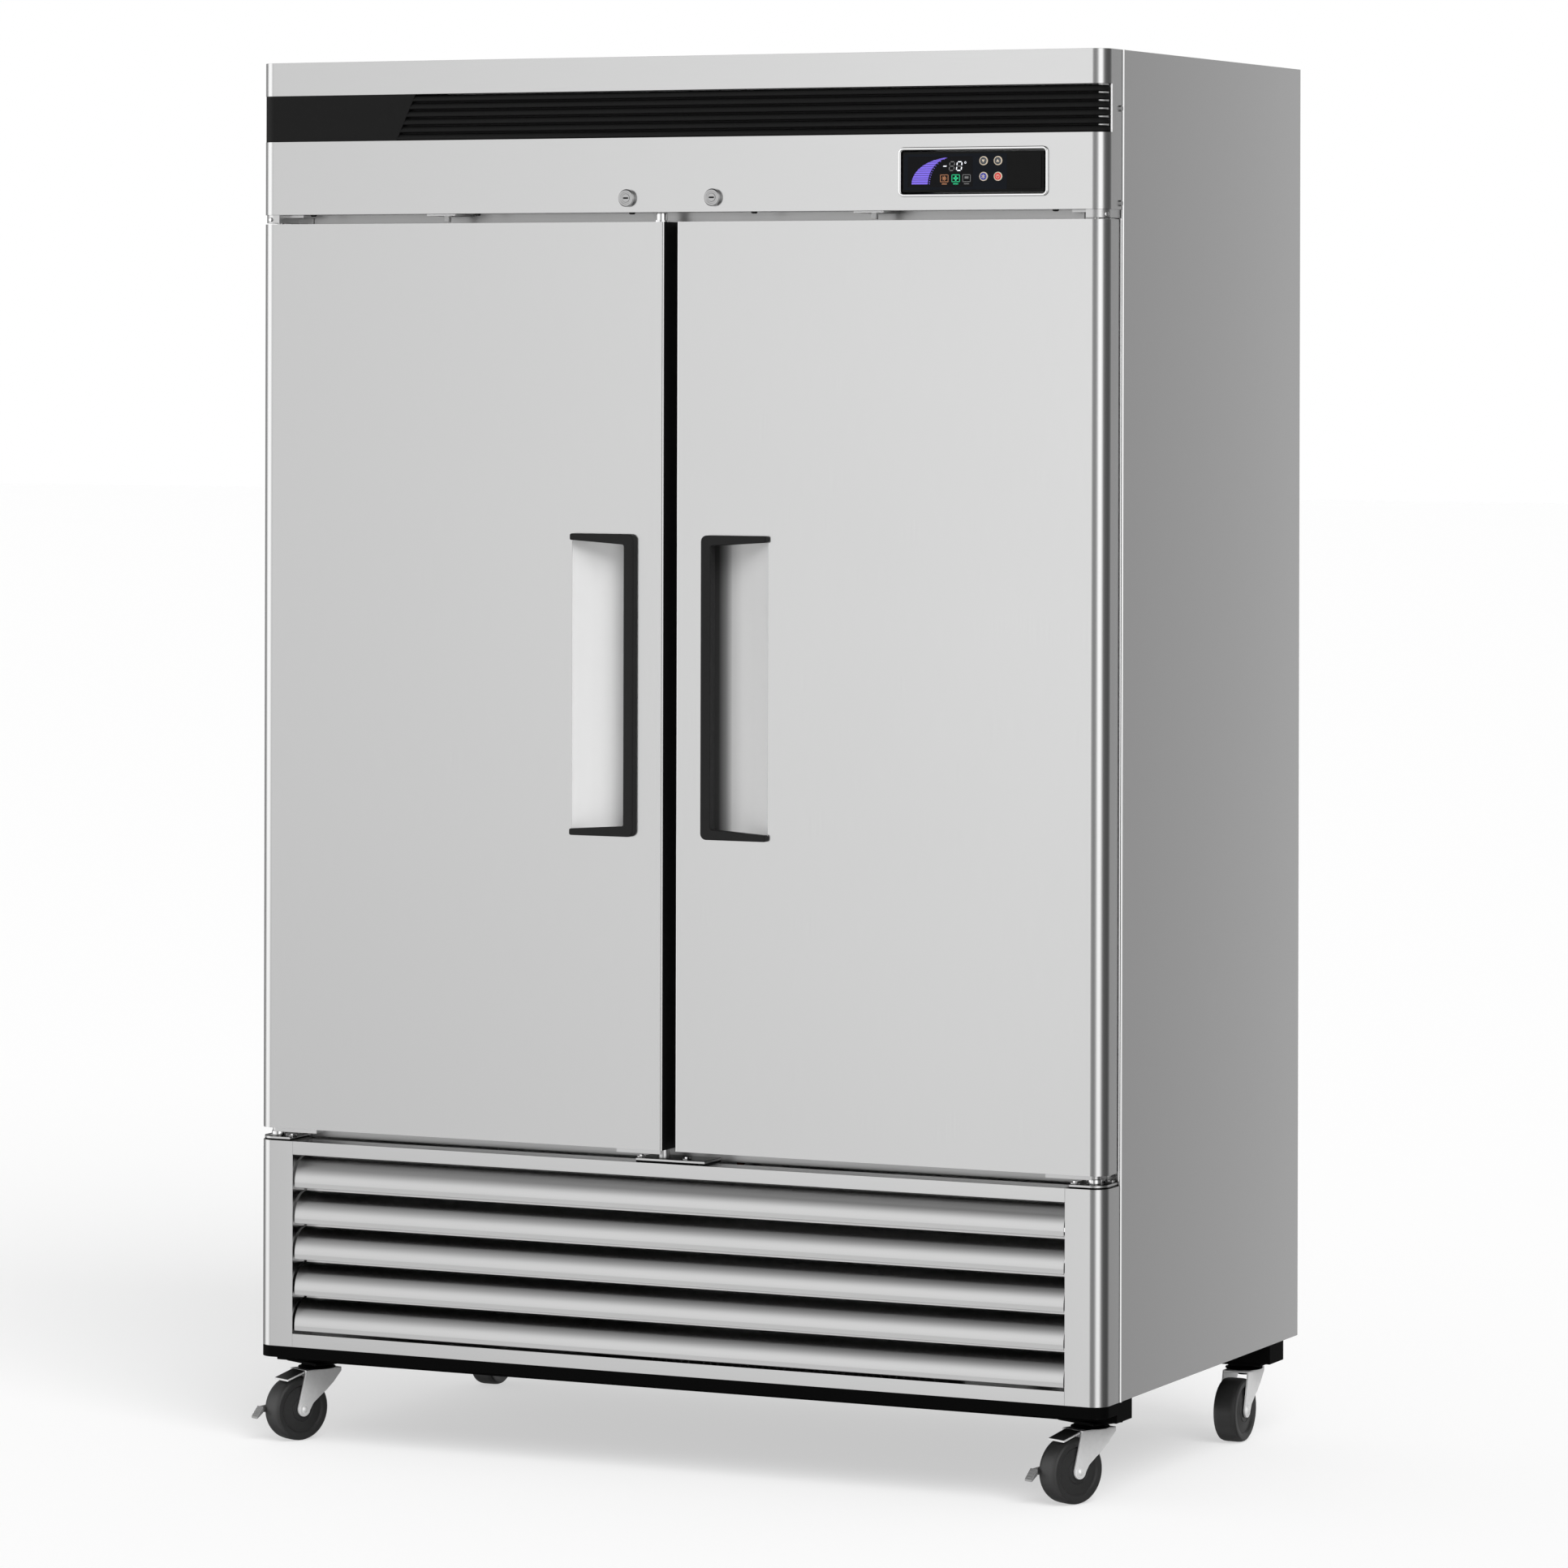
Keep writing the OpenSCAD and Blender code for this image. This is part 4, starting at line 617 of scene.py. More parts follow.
def louvre_end():
    """The rib comes out towards its end, so its own centre lies behind that of the corner."""
    bm = bmesh.new()
    up = Vector((0, 0, LOUVRE_TOP - LOUVRE_Z))
    middle = Vector((HINGE_X + 1.2 * MM, HINGE_Y + 1.5 * MM, LOUVRE_Z))
    foot = middle + Matrix.Rotation(RIB_START, 3, "Z") @ Vector((0, -RIB_R, 0))
    chain = edge_chain(bm, [foot, foot + up])
    bmesh.ops.spin(bm, geom=chain, cent=middle, axis=(0, 0, 1), angle=LOUVRE_TURN - RIB_START, steps=8)
    lip = Vector((HALF_W, HINGE_Y, LOUVRE_Z))
    push_edges(bm, edge_chain(bm, [lip, lip + up]), LIP_RUN)
    return bm


# The rib and the lip are light zinc: painted highlights in place of the glints at the louvre's end.
piece("louvre_end", louvre_end(), "cabinet", [zinc])
piece("louvre_slats", louvre(), "cabinet", [louvre_black], ["header_louvre"], sharp=50)
piece("louvre_plate", plate(), "cabinet", [louvre_black])

# %% [markdown]
# ## Side hems
# The front edge of each side panel is folded back on itself, so it stands a little proud of the header and the
# corner posts and its slanted front shows as a light line beside them. Each hem is one section pushed up the edge.

# %% Side hems
SIDE_HEM = in_mm([(-0.3, -0.1), (1.7, 1.1), (1.7, 5), (-0.3, 7)])
side_low, side_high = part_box("side_panels")
bm = bmesh.new()
for sign in (-1, 1):
    section = [(sign * (HALF_W + x), side_low.y + y) for x, y in SIDE_HEM]
    prism(bm, section, side_high.z - side_low.z, Matrix.Translation((0, 0, side_low.z)))
piece("side_hems", bm, "cabinet", [stainless_upright])

# %% [markdown]
# ## Grille blades
# Each blade is bent from one sheet: a short upright lip with a hemmed foot, a face that leans back and curls
# away at the top, and a hem that stands up behind the next blade. The section is a chain of edges, pushed along
# the width and given its thickness.

# %% Grille blades
blade_low, blade_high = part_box("grille_blades")
BLADES, BLADE_TALL, BLADE_R, BLADE_LIP, BLADE_GAP, BLADE_T = 5, 46 * MM, 38 * MM, 8 * MM, 2.5 * MM, 1.0 * MM
LIP = in_mm([(2.4, 0.0), (0.8, 0.3), (0.2, 1.2), (0.0, 7.6)])
TURNS = [math.radians(degrees) for degrees in range(0, 91, 6)]
CURL = [(BLADE_R * (1 - math.cos(turn)), BLADE_LIP + BLADE_R * math.sin(turn)) for turn in TURNS]
BLADE_SECTION = LIP + CURL + [(BLADE_R + 0.5 * MM, BLADE_TALL + 5 * MM)]
blade_step = (blade_high.z - blade_low.z - BLADE_TALL) / (BLADES - 1)
bm = bmesh.new()
for i in range(BLADES):
    foot = Vector((blade_low.x + BLADE_GAP, blade_low.y, blade_low.z + i * blade_step))
    section = [foot + Vector((0, depth, rise)) for depth, rise in BLADE_SECTION]
    push_edges(bm, edge_chain(bm, section), (blade_high.x - blade_low.x - 2 * BLADE_GAP, 0, 0))
bmesh.ops.recalc_face_normals(bm, faces=bm.faces)
bmesh.ops.solidify(bm, geom=bm.faces, thickness=BLADE_T)
piece("grille_slats", bm, "cabinet", [blade_steel], ["grille_blades"], sharp=22)

# %% [markdown]
# ## Locks
# A lock shows a turned chrome flange with a chamfer and a sunk ring round the plug. Turned parts are drawn as
# half a section and spun once.

# %% Locks
FLANGE = in_mm([(6.1, 0.0), (6.1, 6.0), (6.5, 6.6), (8.6, 6.6), (9.0, 7.0), (11.4, 7.0), (13.0, 5.4), (13.0, 0.0)])
BARREL = in_mm([(6.1, 0), (10, 0), (10, -24), (6.1, -24)])
bm = bmesh.new()
for side in ("left", "right"):
    x, _, z = joints[f"{side}_lock_turn"]["pos_m"]
    for section in (FLANGE, BARREL):
        turned(bm, section, facing_front(x, FRONT_Y, z))
piece("lock_flanges", bm, "cabinet", [lock_nickel], ["lock_barrels"], sharp=20)
# A key slot is a flat near-black bar laid on the plug's face: painted shade in place of the hollow slot.
KEYWAY_W, KEYWAY_H, KEYWAY_T, KEYWAY_ROUND = 8.5 * MM, 2.4 * MM, 0.3 * MM, 1.1 * MM
for side in ("left", "right"):
    x, _, z = joints[f"{side}_lock_turn"]["pos_m"]
    face_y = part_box(f"{side}_lock_plug")[0].y
    bm = bmesh.new()
    rounds = dict.fromkeys(range(4), KEYWAY_ROUND)
    prism(bm, rectangle(KEYWAY_W, KEYWAY_H), KEYWAY_T, facing_front(x, face_y, z), rounds)
    piece(f"{side}_keyway_shade", bm, f"{side}_lock", [control_black])

# %% [markdown]
# ## Pivots and screws
# Each door stands on a chromed pivot over the corner of the grille: a collar, a round boss and two nuts on the
# black plate. Screw heads show on the upper brackets and hang under the header, and the left door has a bush at
# the top of its free edge. All of them are turned, the nuts with six steps.

# %% Pivots and screws
COLLAR = in_mm([(5.2, 4.2), (15, 4.2), (15.6, 4.8), (15, 5.6), (11, 6.2), (10.4, 7), (10.4, 12), (9.6, 13.2),
                (5.2, 13.2)])
NUT = in_mm([(0, 9.4), (3.2, 9.4), (3.6, 8.6), (3.6, 7.6), (6.6, 7.4), (7.2, 6.8), (7.2, 4.1), (0, 4.1)])
SCREW, SCREW_SINK = in_mm([(0, 1.4), (2.4, 1.3), (3.3, 0.7), (3.5, -0.6)]), 1 * MM
CORNER_NUTS = ((HINGE_X - 28 * MM, FRONT_Y + 16 * MM), (HINGE_X + 8 * MM, FRONT_Y + 50 * MM))
REST_NUTS, REST_Y = (-54 * MM, 20 * MM), FRONT_Y + 22 * MM
BRACKET_SCREWS = ((-1, math.radians(16)), (1, math.radians(60)))
HEADER_SCREWS, HANG_Y, HANG_WIDER, HANG_TALLER = (-606, -327, -70, 129, 327, 606), FRONT_Y + 15 * MM, 1.4, 2
plate_z, door_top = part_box("grille_frame")[1].z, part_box("left_door_skin")[1].z
bm = bmesh.new()
for sign in (-1, 1):
    turned(bm, COLLAR, Matrix.Translation((sign * HINGE_X, HINGE_Y, plate_z)))
    for x, y in CORNER_NUTS:
        turned(bm, NUT, Matrix.Translation((sign * x, y, plate_z)), 6)
for x in REST_NUTS:
    turned(bm, NUT, Matrix.Translation((x, REST_Y, plate_z)), 6)
for sign, angle in BRACKET_SCREWS:
    place = Matrix.Translation((sign * HINGE_X, HINGE_Y, (header_low.z + door_top) / 2))
    place = place @ Matrix.Rotation(sign * angle, 4, "Z") @ Matrix.Translation((0, SCREW_SINK - CORNER_R, 0))
    turned(bm, SCREW, place @ Matrix.Rotation(math.pi / 2, 4, "X"), 16)
piece("pivot_trim", bm, "cabinet", [chrome], sharp=30)
bm = bmesh.new()
for x in HEADER_SCREWS:
    hang = Matrix.Translation((x * MM, HANG_Y, header_low.z)) @ Matrix.Rotation(math.pi, 4, "X")
    turned(bm, [(HANG_WIDER * radius, HANG_TALLER * height) for radius, height in SCREW], hang, 16)
piece("header_screws", bm, "cabinet", [gland_black], sharp=30)
bm = bmesh.new()
tall = header_low.z - door_top - 1 * MM
bush = [(0, tall), (7.5 * MM, tall), (8.5 * MM, tall - 1 * MM), (8.5 * MM, 3 * MM), (11 * MM, 2.4 * MM), (11 * MM, 0)]
turned(bm, bush, Matrix.Translation((-25 * MM, HINGE_Y, door_top)))
piece("left_door_top_bush", bm, "left_door", [chrome], sharp=30)

# %% [markdown]
# ## Control panel
# A chrome bezel frames a black face. On it lie a blue-grey film, a dark display with its bars, digits and
# lamps, four buttons and a plain cover. The symbols are thin raised prints, because a print keeps its edge at
# any zoom. Their colours come first: the lit ones glow a little in their own colour.

# %% Display finishes


def glow(name, screen, strength):
    """A lit symbol: dark plastic with an emission in its own colour."""
    material = finish(name, screen, 0.4, scale=900, tint=0.05)
    shader = material.node_tree.nodes["Principled BSDF"]
    shader.inputs["Emission Color"].default_value = (*[linear(v) for v in screen], 1)
    shader.inputs["Emission Strength"].default_value = strength
    return material


film_blue = finish("film_blue", (10, 14, 21), 0.3, scale=1200, tint=0.1, bump=0.03, specular=0.1)
screen_black = finish("screen_black", (5, 5, 8), 0.2, scale=900, tint=0.1, bump=0.01, specular=0.1)
bar_violet = glow("bar_violet", (112, 92, 205), 0.3)
digit_white = glow("digit_white", (235, 238, 245), 0.4)
digit_off = finish("digit_off", grey(105), 0.4, scale=900)
icon_amber = glow("icon_amber", (176, 120, 84), 0.1)
icon_green = glow("icon_green", (30, 190, 130), 0.3)
icon_grey = finish("icon_grey", grey(110), 0.4, scale=900)
ring_beige = finish("ring_beige", (206, 192, 172), 0.35, scale=900, tint=0.04)
button_blue = finish("button_blue", (36, 44, 150), 0.3, scale=900, tint=0.06, coat=0.3)
button_red = finish("button_red", (205, 26, 30), 0.3, scale=900, tint=0.06, coat=0.3)
button_dark = finish("button_dark", (52, 56, 62), 0.3, scale=900, tint=0.06, coat=0.3)
print("materials with the display's:", len(bpy.data.materials))

# %% [markdown]
# The bezel is a plated ring with soft edges. It starts as a rounded plate, whose front is inset and pushed in, so
# that both rims can be rounded by one bevel.

# %% Bezel
bezel_low, bezel_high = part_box("control_bezel")
PANEL = (bezel_low + bezel_high) / 2
BEZEL_W, BEZEL_H = bezel_high.x - bezel_low.x, bezel_high.z - bezel_low.z
BEZEL_RIM = 4.6 * MM
bm = bmesh.new()
rounds = dict.fromkeys(range(4), 9 * MM)
prism(bm, rectangle(BEZEL_W, BEZEL_H), FRONT_Y - bezel_low.y, Matrix.Identity(4), rounds, segments=8)
front = max(bm.faces, key=lambda face: face.calc_center_median().z)
back = min(bm.faces, key=lambda face: face.calc_center_median().z)
outer_rim = list(front.edges)
bmesh.ops.inset_region(bm, faces=[front], thickness=BEZEL_RIM, use_even_offset=True)
inner_rim = list(front.edges)
bmesh.ops.delete(bm, geom=[front, back], context="FACES_ONLY")
push_edges(bm, inner_rim, (0, 0, -2.6 * MM))
bevel(bm, outer_rim + inner_rim, 2.0 * MM, 5)
bmesh.ops.transform(bm, matrix=facing_front(PANEL.x, FRONT_Y, PANEL.z), verts=bm.verts)
piece("bezel_ring", bm, "cabinet", [chrome], ["control_bezel"], sharp=40)

# %% [markdown]
# A film covers the display and the buttons, and the screen lies on it. Both are thin plates that follow the
# display's own box and the outermost button.

# %% Display film and screen
display_low, display_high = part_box("display_window")
FACE_Y = display_low.y
FILM_EDGE, SCREEN_LIFT = 6 * MM, 0.3 * MM
BUTTONS = {"down": "down_button", "up": "up_button", "chill": "chill_button", "power": "power_button"}


def screen_frame(lift):
    return facing_front(0, FACE_Y - lift, 0)


def mid_xz(node):
    low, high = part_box(node)
    return (low.x + high.x) / 2, (low.z + high.z) / 2


button_right = max(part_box(node)[1].x for node in BUTTONS.values())
film_x0, film_x1 = display_low.x - FILM_EDGE / 3, button_right + FILM_EDGE
film_z0, film_z1 = display_low.z - 1 * MM, display_high.z + 1 * MM
bm = bmesh.new()
rounds = dict.fromkeys(range(4), 1.5 * MM)
prism(bm, corners(film_x0, film_z0, film_x1, film_z1), 0.2 * MM, screen_frame(0), rounds)
piece("display_film", bm, "cabinet", [film_blue])
screen_x0, screen_x1 = display_low.x + 4 * MM, display_high.x + 1 * MM
screen_z0, screen_z1 = display_low.z + 3 * MM, display_high.z - 3 * MM
bm = bmesh.new()
prism(bm, corners(screen_x0, screen_z0, screen_x1, screen_z1), SCREEN_LIFT, screen_frame(0))
piece("display_screen", bm, "cabinet", [screen_black], ["display_window"])

# %% [markdown]
# The left of the display is a fan of level bars between two arcs. Each bar is a thin strip that ends on the
# arcs, so the two radii and the number of bars are enough to draw it.

# %% Level bars
PRINT_T = 0.1 * MM
BARS, FAN_W, FAN_H, FAN_INNER = 12, 64 * MM, 38.5 * MM, 0.6
fan_x, fan_z = screen_x0 + 6 * MM + FAN_W, screen_z0 + 4 * MM


def arc(z, share):
    """X of an arc at a height. The outer arc has share 1."""
    return fan_x - share * FAN_W * math.sqrt(max(0, 1 - ((z - fan_z) / (FAN_H * 1.01)) ** 2))


bm = bmesh.new()
for i in range(BARS):
    low, high = (fan_z + FAN_H * (i + step) / BARS for step in (0.08, 0.9))
    outline = [(arc(low, 1), low), (arc(low, FAN_INNER), low), (arc(high, FAN_INNER), high), (arc(high, 1), high)]
    prism(bm, outline, PRINT_T, screen_frame(SCREEN_LIFT))
    tick = arc(low, FAN_INNER) + 2.2 * MM
    prism(bm, [(tick, low), (tick + 1.6 * MM, low), (tick, high - 1 * MM)], PRINT_T, screen_frame(SCREEN_LIFT))
piece("level_bars", bm, "cabinet", [bar_violet])

# %% [markdown]
# The digits have seven segments each. A segment is one pointed bar, and a digit is the set of segments that
# are lit, so any number can be shown. The unlit ones are faintly grey, as on the real display.

# %% Digits
DIGIT_W, DIGIT_H, STROKE = 7.5 * MM, 12.5 * MM, 1.5 * MM
SEGMENTS = {"a": (0, 1, 0), "g": (0, 0, 0), "d": (0, -1, 0), "f": (-1, 0.5, 1), "b": (1, 0.5, 1), "e": (-1, -0.5, 1),
            "c": (1, -0.5, 1)}
SLANT = 0.12


def segment(bm, x, z, name, index):
    """One pointed bar of a digit, at its place round the centre x, z."""
    across_by, up_by, upright = SEGMENTS[name]
    half = (DIGIT_H / 4 if upright else DIGIT_W / 2) - STROKE * 0.55
    bar = [(-half, 0), (-half + STROKE / 2, -STROKE / 2), (half - STROKE / 2, -STROKE / 2), (half, 0),
           (half - STROKE / 2, STROKE / 2), (-half + STROKE / 2, STROKE / 2)]
    if upright:
        bar = [(-v, u) for u, v in bar]
    placed = [(u + across_by * DIGIT_W / 2, v + up_by * DIGIT_H / 2) for u, v in bar]
    prism(bm, [(x + u + SLANT * v, z + v) for u, v in placed], PRINT_T, screen_frame(SCREEN_LIFT), index=index)


digits_z = screen_z1 - 14 * MM
digits_x = screen_x1 - 32.5 * MM
bm = bmesh.new()
for x, lit in ((digits_x - 11 * MM, "g"), (digits_x, ""), (digits_x + 11.5 * MM, "abcdef")):
    for name in (SEGMENTS if x > digits_x - 5 * MM else "g"):
        segment(bm, x, z=digits_z, name=name, index=0 if name in lit else 1)
turned(bm, [(0.9 * MM, 0), (0.9 * MM, PRINT_T), (1.5 * MM, PRINT_T), (1.5 * MM, 0)],
       facing_front(digits_x + 21 * MM, FACE_Y - SCREEN_LIFT, digits_z + 5 * MM), 20)
piece("display_digits", bm, "cabinet", [digit_white, digit_off])

# %% [markdown]
# Three small lamps below the digits are round-cornered frames with a sign inside: a frost star, a fan and a
# door. Each is drawn from thin strips.

# %% Lamp signs
ICON_W, ICON_H, ICON_LINE = 12 * MM, 10 * MM, 0.8 * MM


def strip_between(bm, start, end, width, index, lift=SCREEN_LIFT):
    """A thin printed strip from start to end, both given as X and Z."""
    start, end = Vector(start), Vector(end)
    side_step = (end - start).orthogonal().normalized() * width / 2
    outline = [start - side_step, end - side_step, end + side_step, start + side_step]
    prism(bm, outline, PRINT_T, screen_frame(lift), index=index)


def ring_frame(bm, x, z, index):
    points = [(x + u, z + v) for u, v in rectangle(ICON_W, ICON_H)]
    for start, end in zip(points, points[1:] + points[:1]):
        strip_between(bm, start, end, ICON_LINE, index)


def star(bm, x, z, radius, arms, width, index, lift=SCREEN_LIFT):
    for i in range(arms):
        angle = math.pi * i / arms + math.pi / 2
        reach = Vector((math.cos(angle), math.sin(angle))) * radius
        strip_between(bm, Vector((x, z)) - reach, Vector((x, z)) + reach, width, index, lift)


icons_z = screen_z0 + 12.5 * MM
icons_x = [digits_x - 12 * MM, digits_x + 6 * MM, digits_x + 23 * MM]
bm = bmesh.new()
for index, x in enumerate(icons_x):
    ring_frame(bm, x, icons_z, index)
star(bm, icons_x[0], icons_z, 3.6 * MM, 4, 0.8 * MM, 0)
star(bm, icons_x[1], icons_z, 3.6 * MM, 2, 2.2 * MM, 1)
strip_between(bm, (icons_x[2] - 3 * MM, icons_z + 1 * MM), (icons_x[2] + 3 * MM, icons_z + 1 * MM), 3.2 * MM, 2)
for index, x in enumerate(icons_x):
    strip_between(bm, (x - 4 * MM, icons_z - 8 * MM), (x + 4 * MM, icons_z - 8 * MM), 1.2 * MM, index)
piece("lamp_signs", bm, "cabinet", [icon_amber, icon_green, icon_grey])

# %% [markdown]
# A button is a turned cap with a pale ring round it and a raised sign. The signs are a triangle down, a
# triangle up, a frost star and the ring and bar of a power switch.

# %% Buttons
CAP_R, RING_R = 5.2 * MM, 6.5 * MM


def button(name, node, cap, mark):
    x, z = mid_xz(node)
    place = facing_front(x, FACE_Y, z)
    tall = FACE_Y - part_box(node)[0].y
    bm = bmesh.new()
    turned(bm, [(0, tall), (CAP_R - 0.6 * MM, tall), (CAP_R, tall - 0.5 * MM), (CAP_R, 0)], place, 32, 0)
    ring_top = tall - 0.3 * MM
    turned(bm, [(CAP_R, 0), (CAP_R, ring_top), (RING_R - 0.4 * MM, ring_top), (RING_R, ring_top - 0.5 * MM),
                (RING_R, -6 * MM), (CAP_R, -6 * MM)], place, 32, 1)
    mark(bm, x, z, tall)
    piece(f"{name}_cap", bm, node, [cap, ring_beige], [node])


def pointer(sign):
    def mark(bm, x, z, tall):
        size = 2.4 * MM
        outline = [(x - size, z - sign * size * 0.7), (x + size, z - sign * size * 0.7), (x, z + sign * size)]
        prism(bm, outline if sign > 0 else outline[::-1], PRINT_T, screen_frame(tall), index=1)
    return mark


def frost(bm, x, z, tall):
    star(bm, x, z, 3 * MM, 3, 0.8 * MM, 1, tall)


def switch_mark(bm, x, z, tall):
    turned(bm, [(2.2 * MM, 0), (2.2 * MM, PRINT_T), (2.8 * MM, PRINT_T), (2.8 * MM, 0)],
           facing_front(x, FACE_Y - tall, z), 24, 1)
    strip_between(bm, (x, z), (x, z + 3 * MM), 0.8 * MM, 1, tall)


button("down", BUTTONS["down"], button_dark, pointer(-1))
button("up", BUTTONS["up"], button_dark, pointer(1))
button("chill", BUTTONS["chill"], button_blue, frost)
button("power", BUTTONS["power"], button_red, switch_mark)

# %% [markdown]
# ## Casters
# Each caster hangs from a plate with a stepped cap. Its yoke is pressed from zinc sheet: a crown, two legs
# that narrow to the axle, and on the front pair a brake strip over the wheel. All of it is drawn in the
# caster's own frame, taken from the swivel and roll joints, with the wheel trailing along its X.

# %% Caster frames
CASTERS = ("front_left", "front_right", "rear_left", "rear_right")
WHEEL_R = joints["rear_left_roll"]["pos_m"][2]
CROWN_Z, CROWN_T = 103 * MM, 3 * MM
LEG_Y = 21.3 * MM


def caster_frame(name):
    """Places the caster's own drawing: X along the trail, Y along the axle, origin on the floor."""
    swivel = Vector(joints[f"{name}_swivel"]["pos_m"])
    axle = Vector(joints[f"{name}_roll"]["axis"])
    trail = axle.cross(Vector((0, 0, 1)))
    columns = Matrix((trail, axle, (0, 0, 1))).transposed()
    return Matrix.Translation((swivel.x, swivel.y, 0)) @ columns.to_4x4()


def side_frame(y):
    """Frame of an outline drawn in X and Z that is pushed out along Y from y."""
    return Matrix(((1, 0, 0, 0), (0, 0, 1, y), (0, 1, 0, 0), (0, 0, 0, 1)))


TRAIL = (Vector(joints["rear_left_roll"]["pos_m"]) - Vector(joints["rear_left_swivel"]["pos_m"])).xy.length
print("caster trail", round(TRAIL, 4), "wheel radius", round(WHEEL_R, 4))

# %% [markdown]
# A leg is one outline pushed out to the thickness of the sheet, and the crown is a plate between the legs. The
# brake strip slopes down in front of the crown under a black pad.

# %% Yokes
LEG_FRONT, LEG_BACK, BOSS_R = TRAIL - 4 * MM, -31 * MM, 11 * MM


def leg_outline():
    """Side view of a leg: a straight front edge, the round boss at the axle and a hollow rear edge."""
    turns = [math.radians(degrees) for degrees in range(10, -171, -20)]
    boss = [(TRAIL + BOSS_R * math.cos(turn), WHEEL_R + BOSS_R * math.sin(turn)) for turn in turns]
    top = [(LEG_BACK, 100 * MM), (LEG_BACK, CROWN_Z + CROWN_T), (LEG_FRONT, CROWN_Z + CROWN_T)]
    return boss + LEG_REAR + top


LEG_REAR = in_mm([(21, 56), (9, 65), (-4, 74), (-17, 85), (-26, 95)])
AXLE_CAP = in_mm([(0, 3.2), (2.6, 2.9), (4.6, 1.8), (5.2, 0.9), (8, 0.8), (8.4, 0)])
STRIP_W, STRIP_L, STRIP_DROP, PAD_T = 34 * MM, 32 * MM, 11 * MM, 0.8 * MM


def yoke(brake):
    bm = bmesh.new()
    for y in (-LEG_Y, LEG_Y - CROWN_T):
        prism(bm, leg_outline(), CROWN_T, side_frame(y), edge=0.7 * MM)
    block(bm, (LEG_BACK, -LEG_Y, CROWN_Z), (LEG_FRONT, LEG_Y, CROWN_Z + CROWN_T), 1.2 * MM)
    if brake:
        strip = [(LEG_FRONT - 3 * MM, CROWN_Z), (LEG_FRONT + STRIP_L, CROWN_Z - STRIP_DROP),
                 (LEG_FRONT + STRIP_L, CROWN_Z - STRIP_DROP + 2.5 * MM), (LEG_FRONT - 3 * MM, CROWN_Z + 2.5 * MM)]
        prism(bm, strip, STRIP_W, side_frame(-STRIP_W / 2), edge=0.5 * MM)
        pad = [strip[2], strip[3], (strip[3][0], strip[3][1] + PAD_T), (strip[2][0], strip[2][1] + PAD_T)]
        prism(bm, pad, STRIP_W - 3 * MM, side_frame(1.5 * MM - STRIP_W / 2), index=1)
    for sign in (-1, 1):
        axle = Matrix.Translation((TRAIL, sign * LEG_Y, WHEEL_R)) @ Matrix.Rotation(-sign * math.pi / 2, 4, "X")
        turned(bm, AXLE_CAP, axle, 28)
    return bm


def place_caster(bm, name):
    bmesh.ops.transform(bm, matrix=caster_frame(name), verts=bm.verts)
    return bm


for name in CASTERS:
    bm = place_caster(yoke("front" in name), name)
    piece(f"{name}_yoke", bm, f"{name}_caster", [zinc, wheel_black], [f"{name}_fork"])

# %% [markdown]
# A wheel is one turned section: a tread with round shoulders, a shallow groove in each face and a hub. The
# mount cap is turned as well, in two steps, above the crown.

# %% Wheels and mounts
HALF_WHEEL = in_mm([(0.0, 16.5), (17, 16.5), (17.6, 15.6), (18.4, 15.6), (19, 16.2), (28, 15.2), (34, 14.8),
                    (35, 16.0), (36.2, 17.2), (41, 18), (44, 17.6), (46.4, 15.8), (47.6, 12.5), (48, 8)])


def wheel():
    bm = bmesh.new()
    section = HALF_WHEEL + [(radius, -half) for radius, half in reversed(HALF_WHEEL)]
    axle = Matrix.Translation((TRAIL, 0, WHEEL_R)) @ Matrix.Rotation(math.pi / 2, 4, "X")
    turned(bm, section, axle, 64)
    return bm


MOUNT_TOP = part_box("caster_mounts")[1].z
PLATE_T, PLATE_W, PLATE_D = 4 * MM, 76 * MM, 58 * MM
CAP_SECTION = in_mm([(6, -6), (9, -6), (9, -3.3), (6, -3.3), (6, 3.3), (28, 3.3), (28.5, 4.2), (28, 5.2), (25, 5.6),
                     (24, 7.4), (22.5, 8.2), (22, 12)])
mounts = bmesh.new()
for name in CASTERS:
    bm = place_caster(wheel(), name)
    piece(f"{name}_roller", bm, f"{name}_wheel", [wheel_black], [f"{name}_wheel"], sharp=28)
    before = set(mounts.verts)
    block(mounts, (-PLATE_D / 2, -PLATE_W / 2, MOUNT_TOP - PLATE_T), (PLATE_D / 2, PLATE_W / 2, MOUNT_TOP), 1 * MM)
    turned(mounts, CAP_SECTION, Matrix.Translation((0, 0, CROWN_Z)))
    bmesh.ops.transform(mounts, matrix=caster_frame(name), verts=list(set(mounts.verts) - before))
piece("caster_plates", mounts, "cabinet", [base_black], ["caster_mounts"])

# %% [markdown]
# The brake is a lever that hangs on the axle outside the left leg and ends in a sloping foot plate with ribs.

# %% Brake levers
LEVER_Y, LEVER_T, LEVER_R, REACH = -24.6 * MM, 3 * MM, 9 * MM, 51 * MM
FOOT_W, FOOT_L, FOOT_DROP = 15 * MM, 11 * MM, 10 * MM


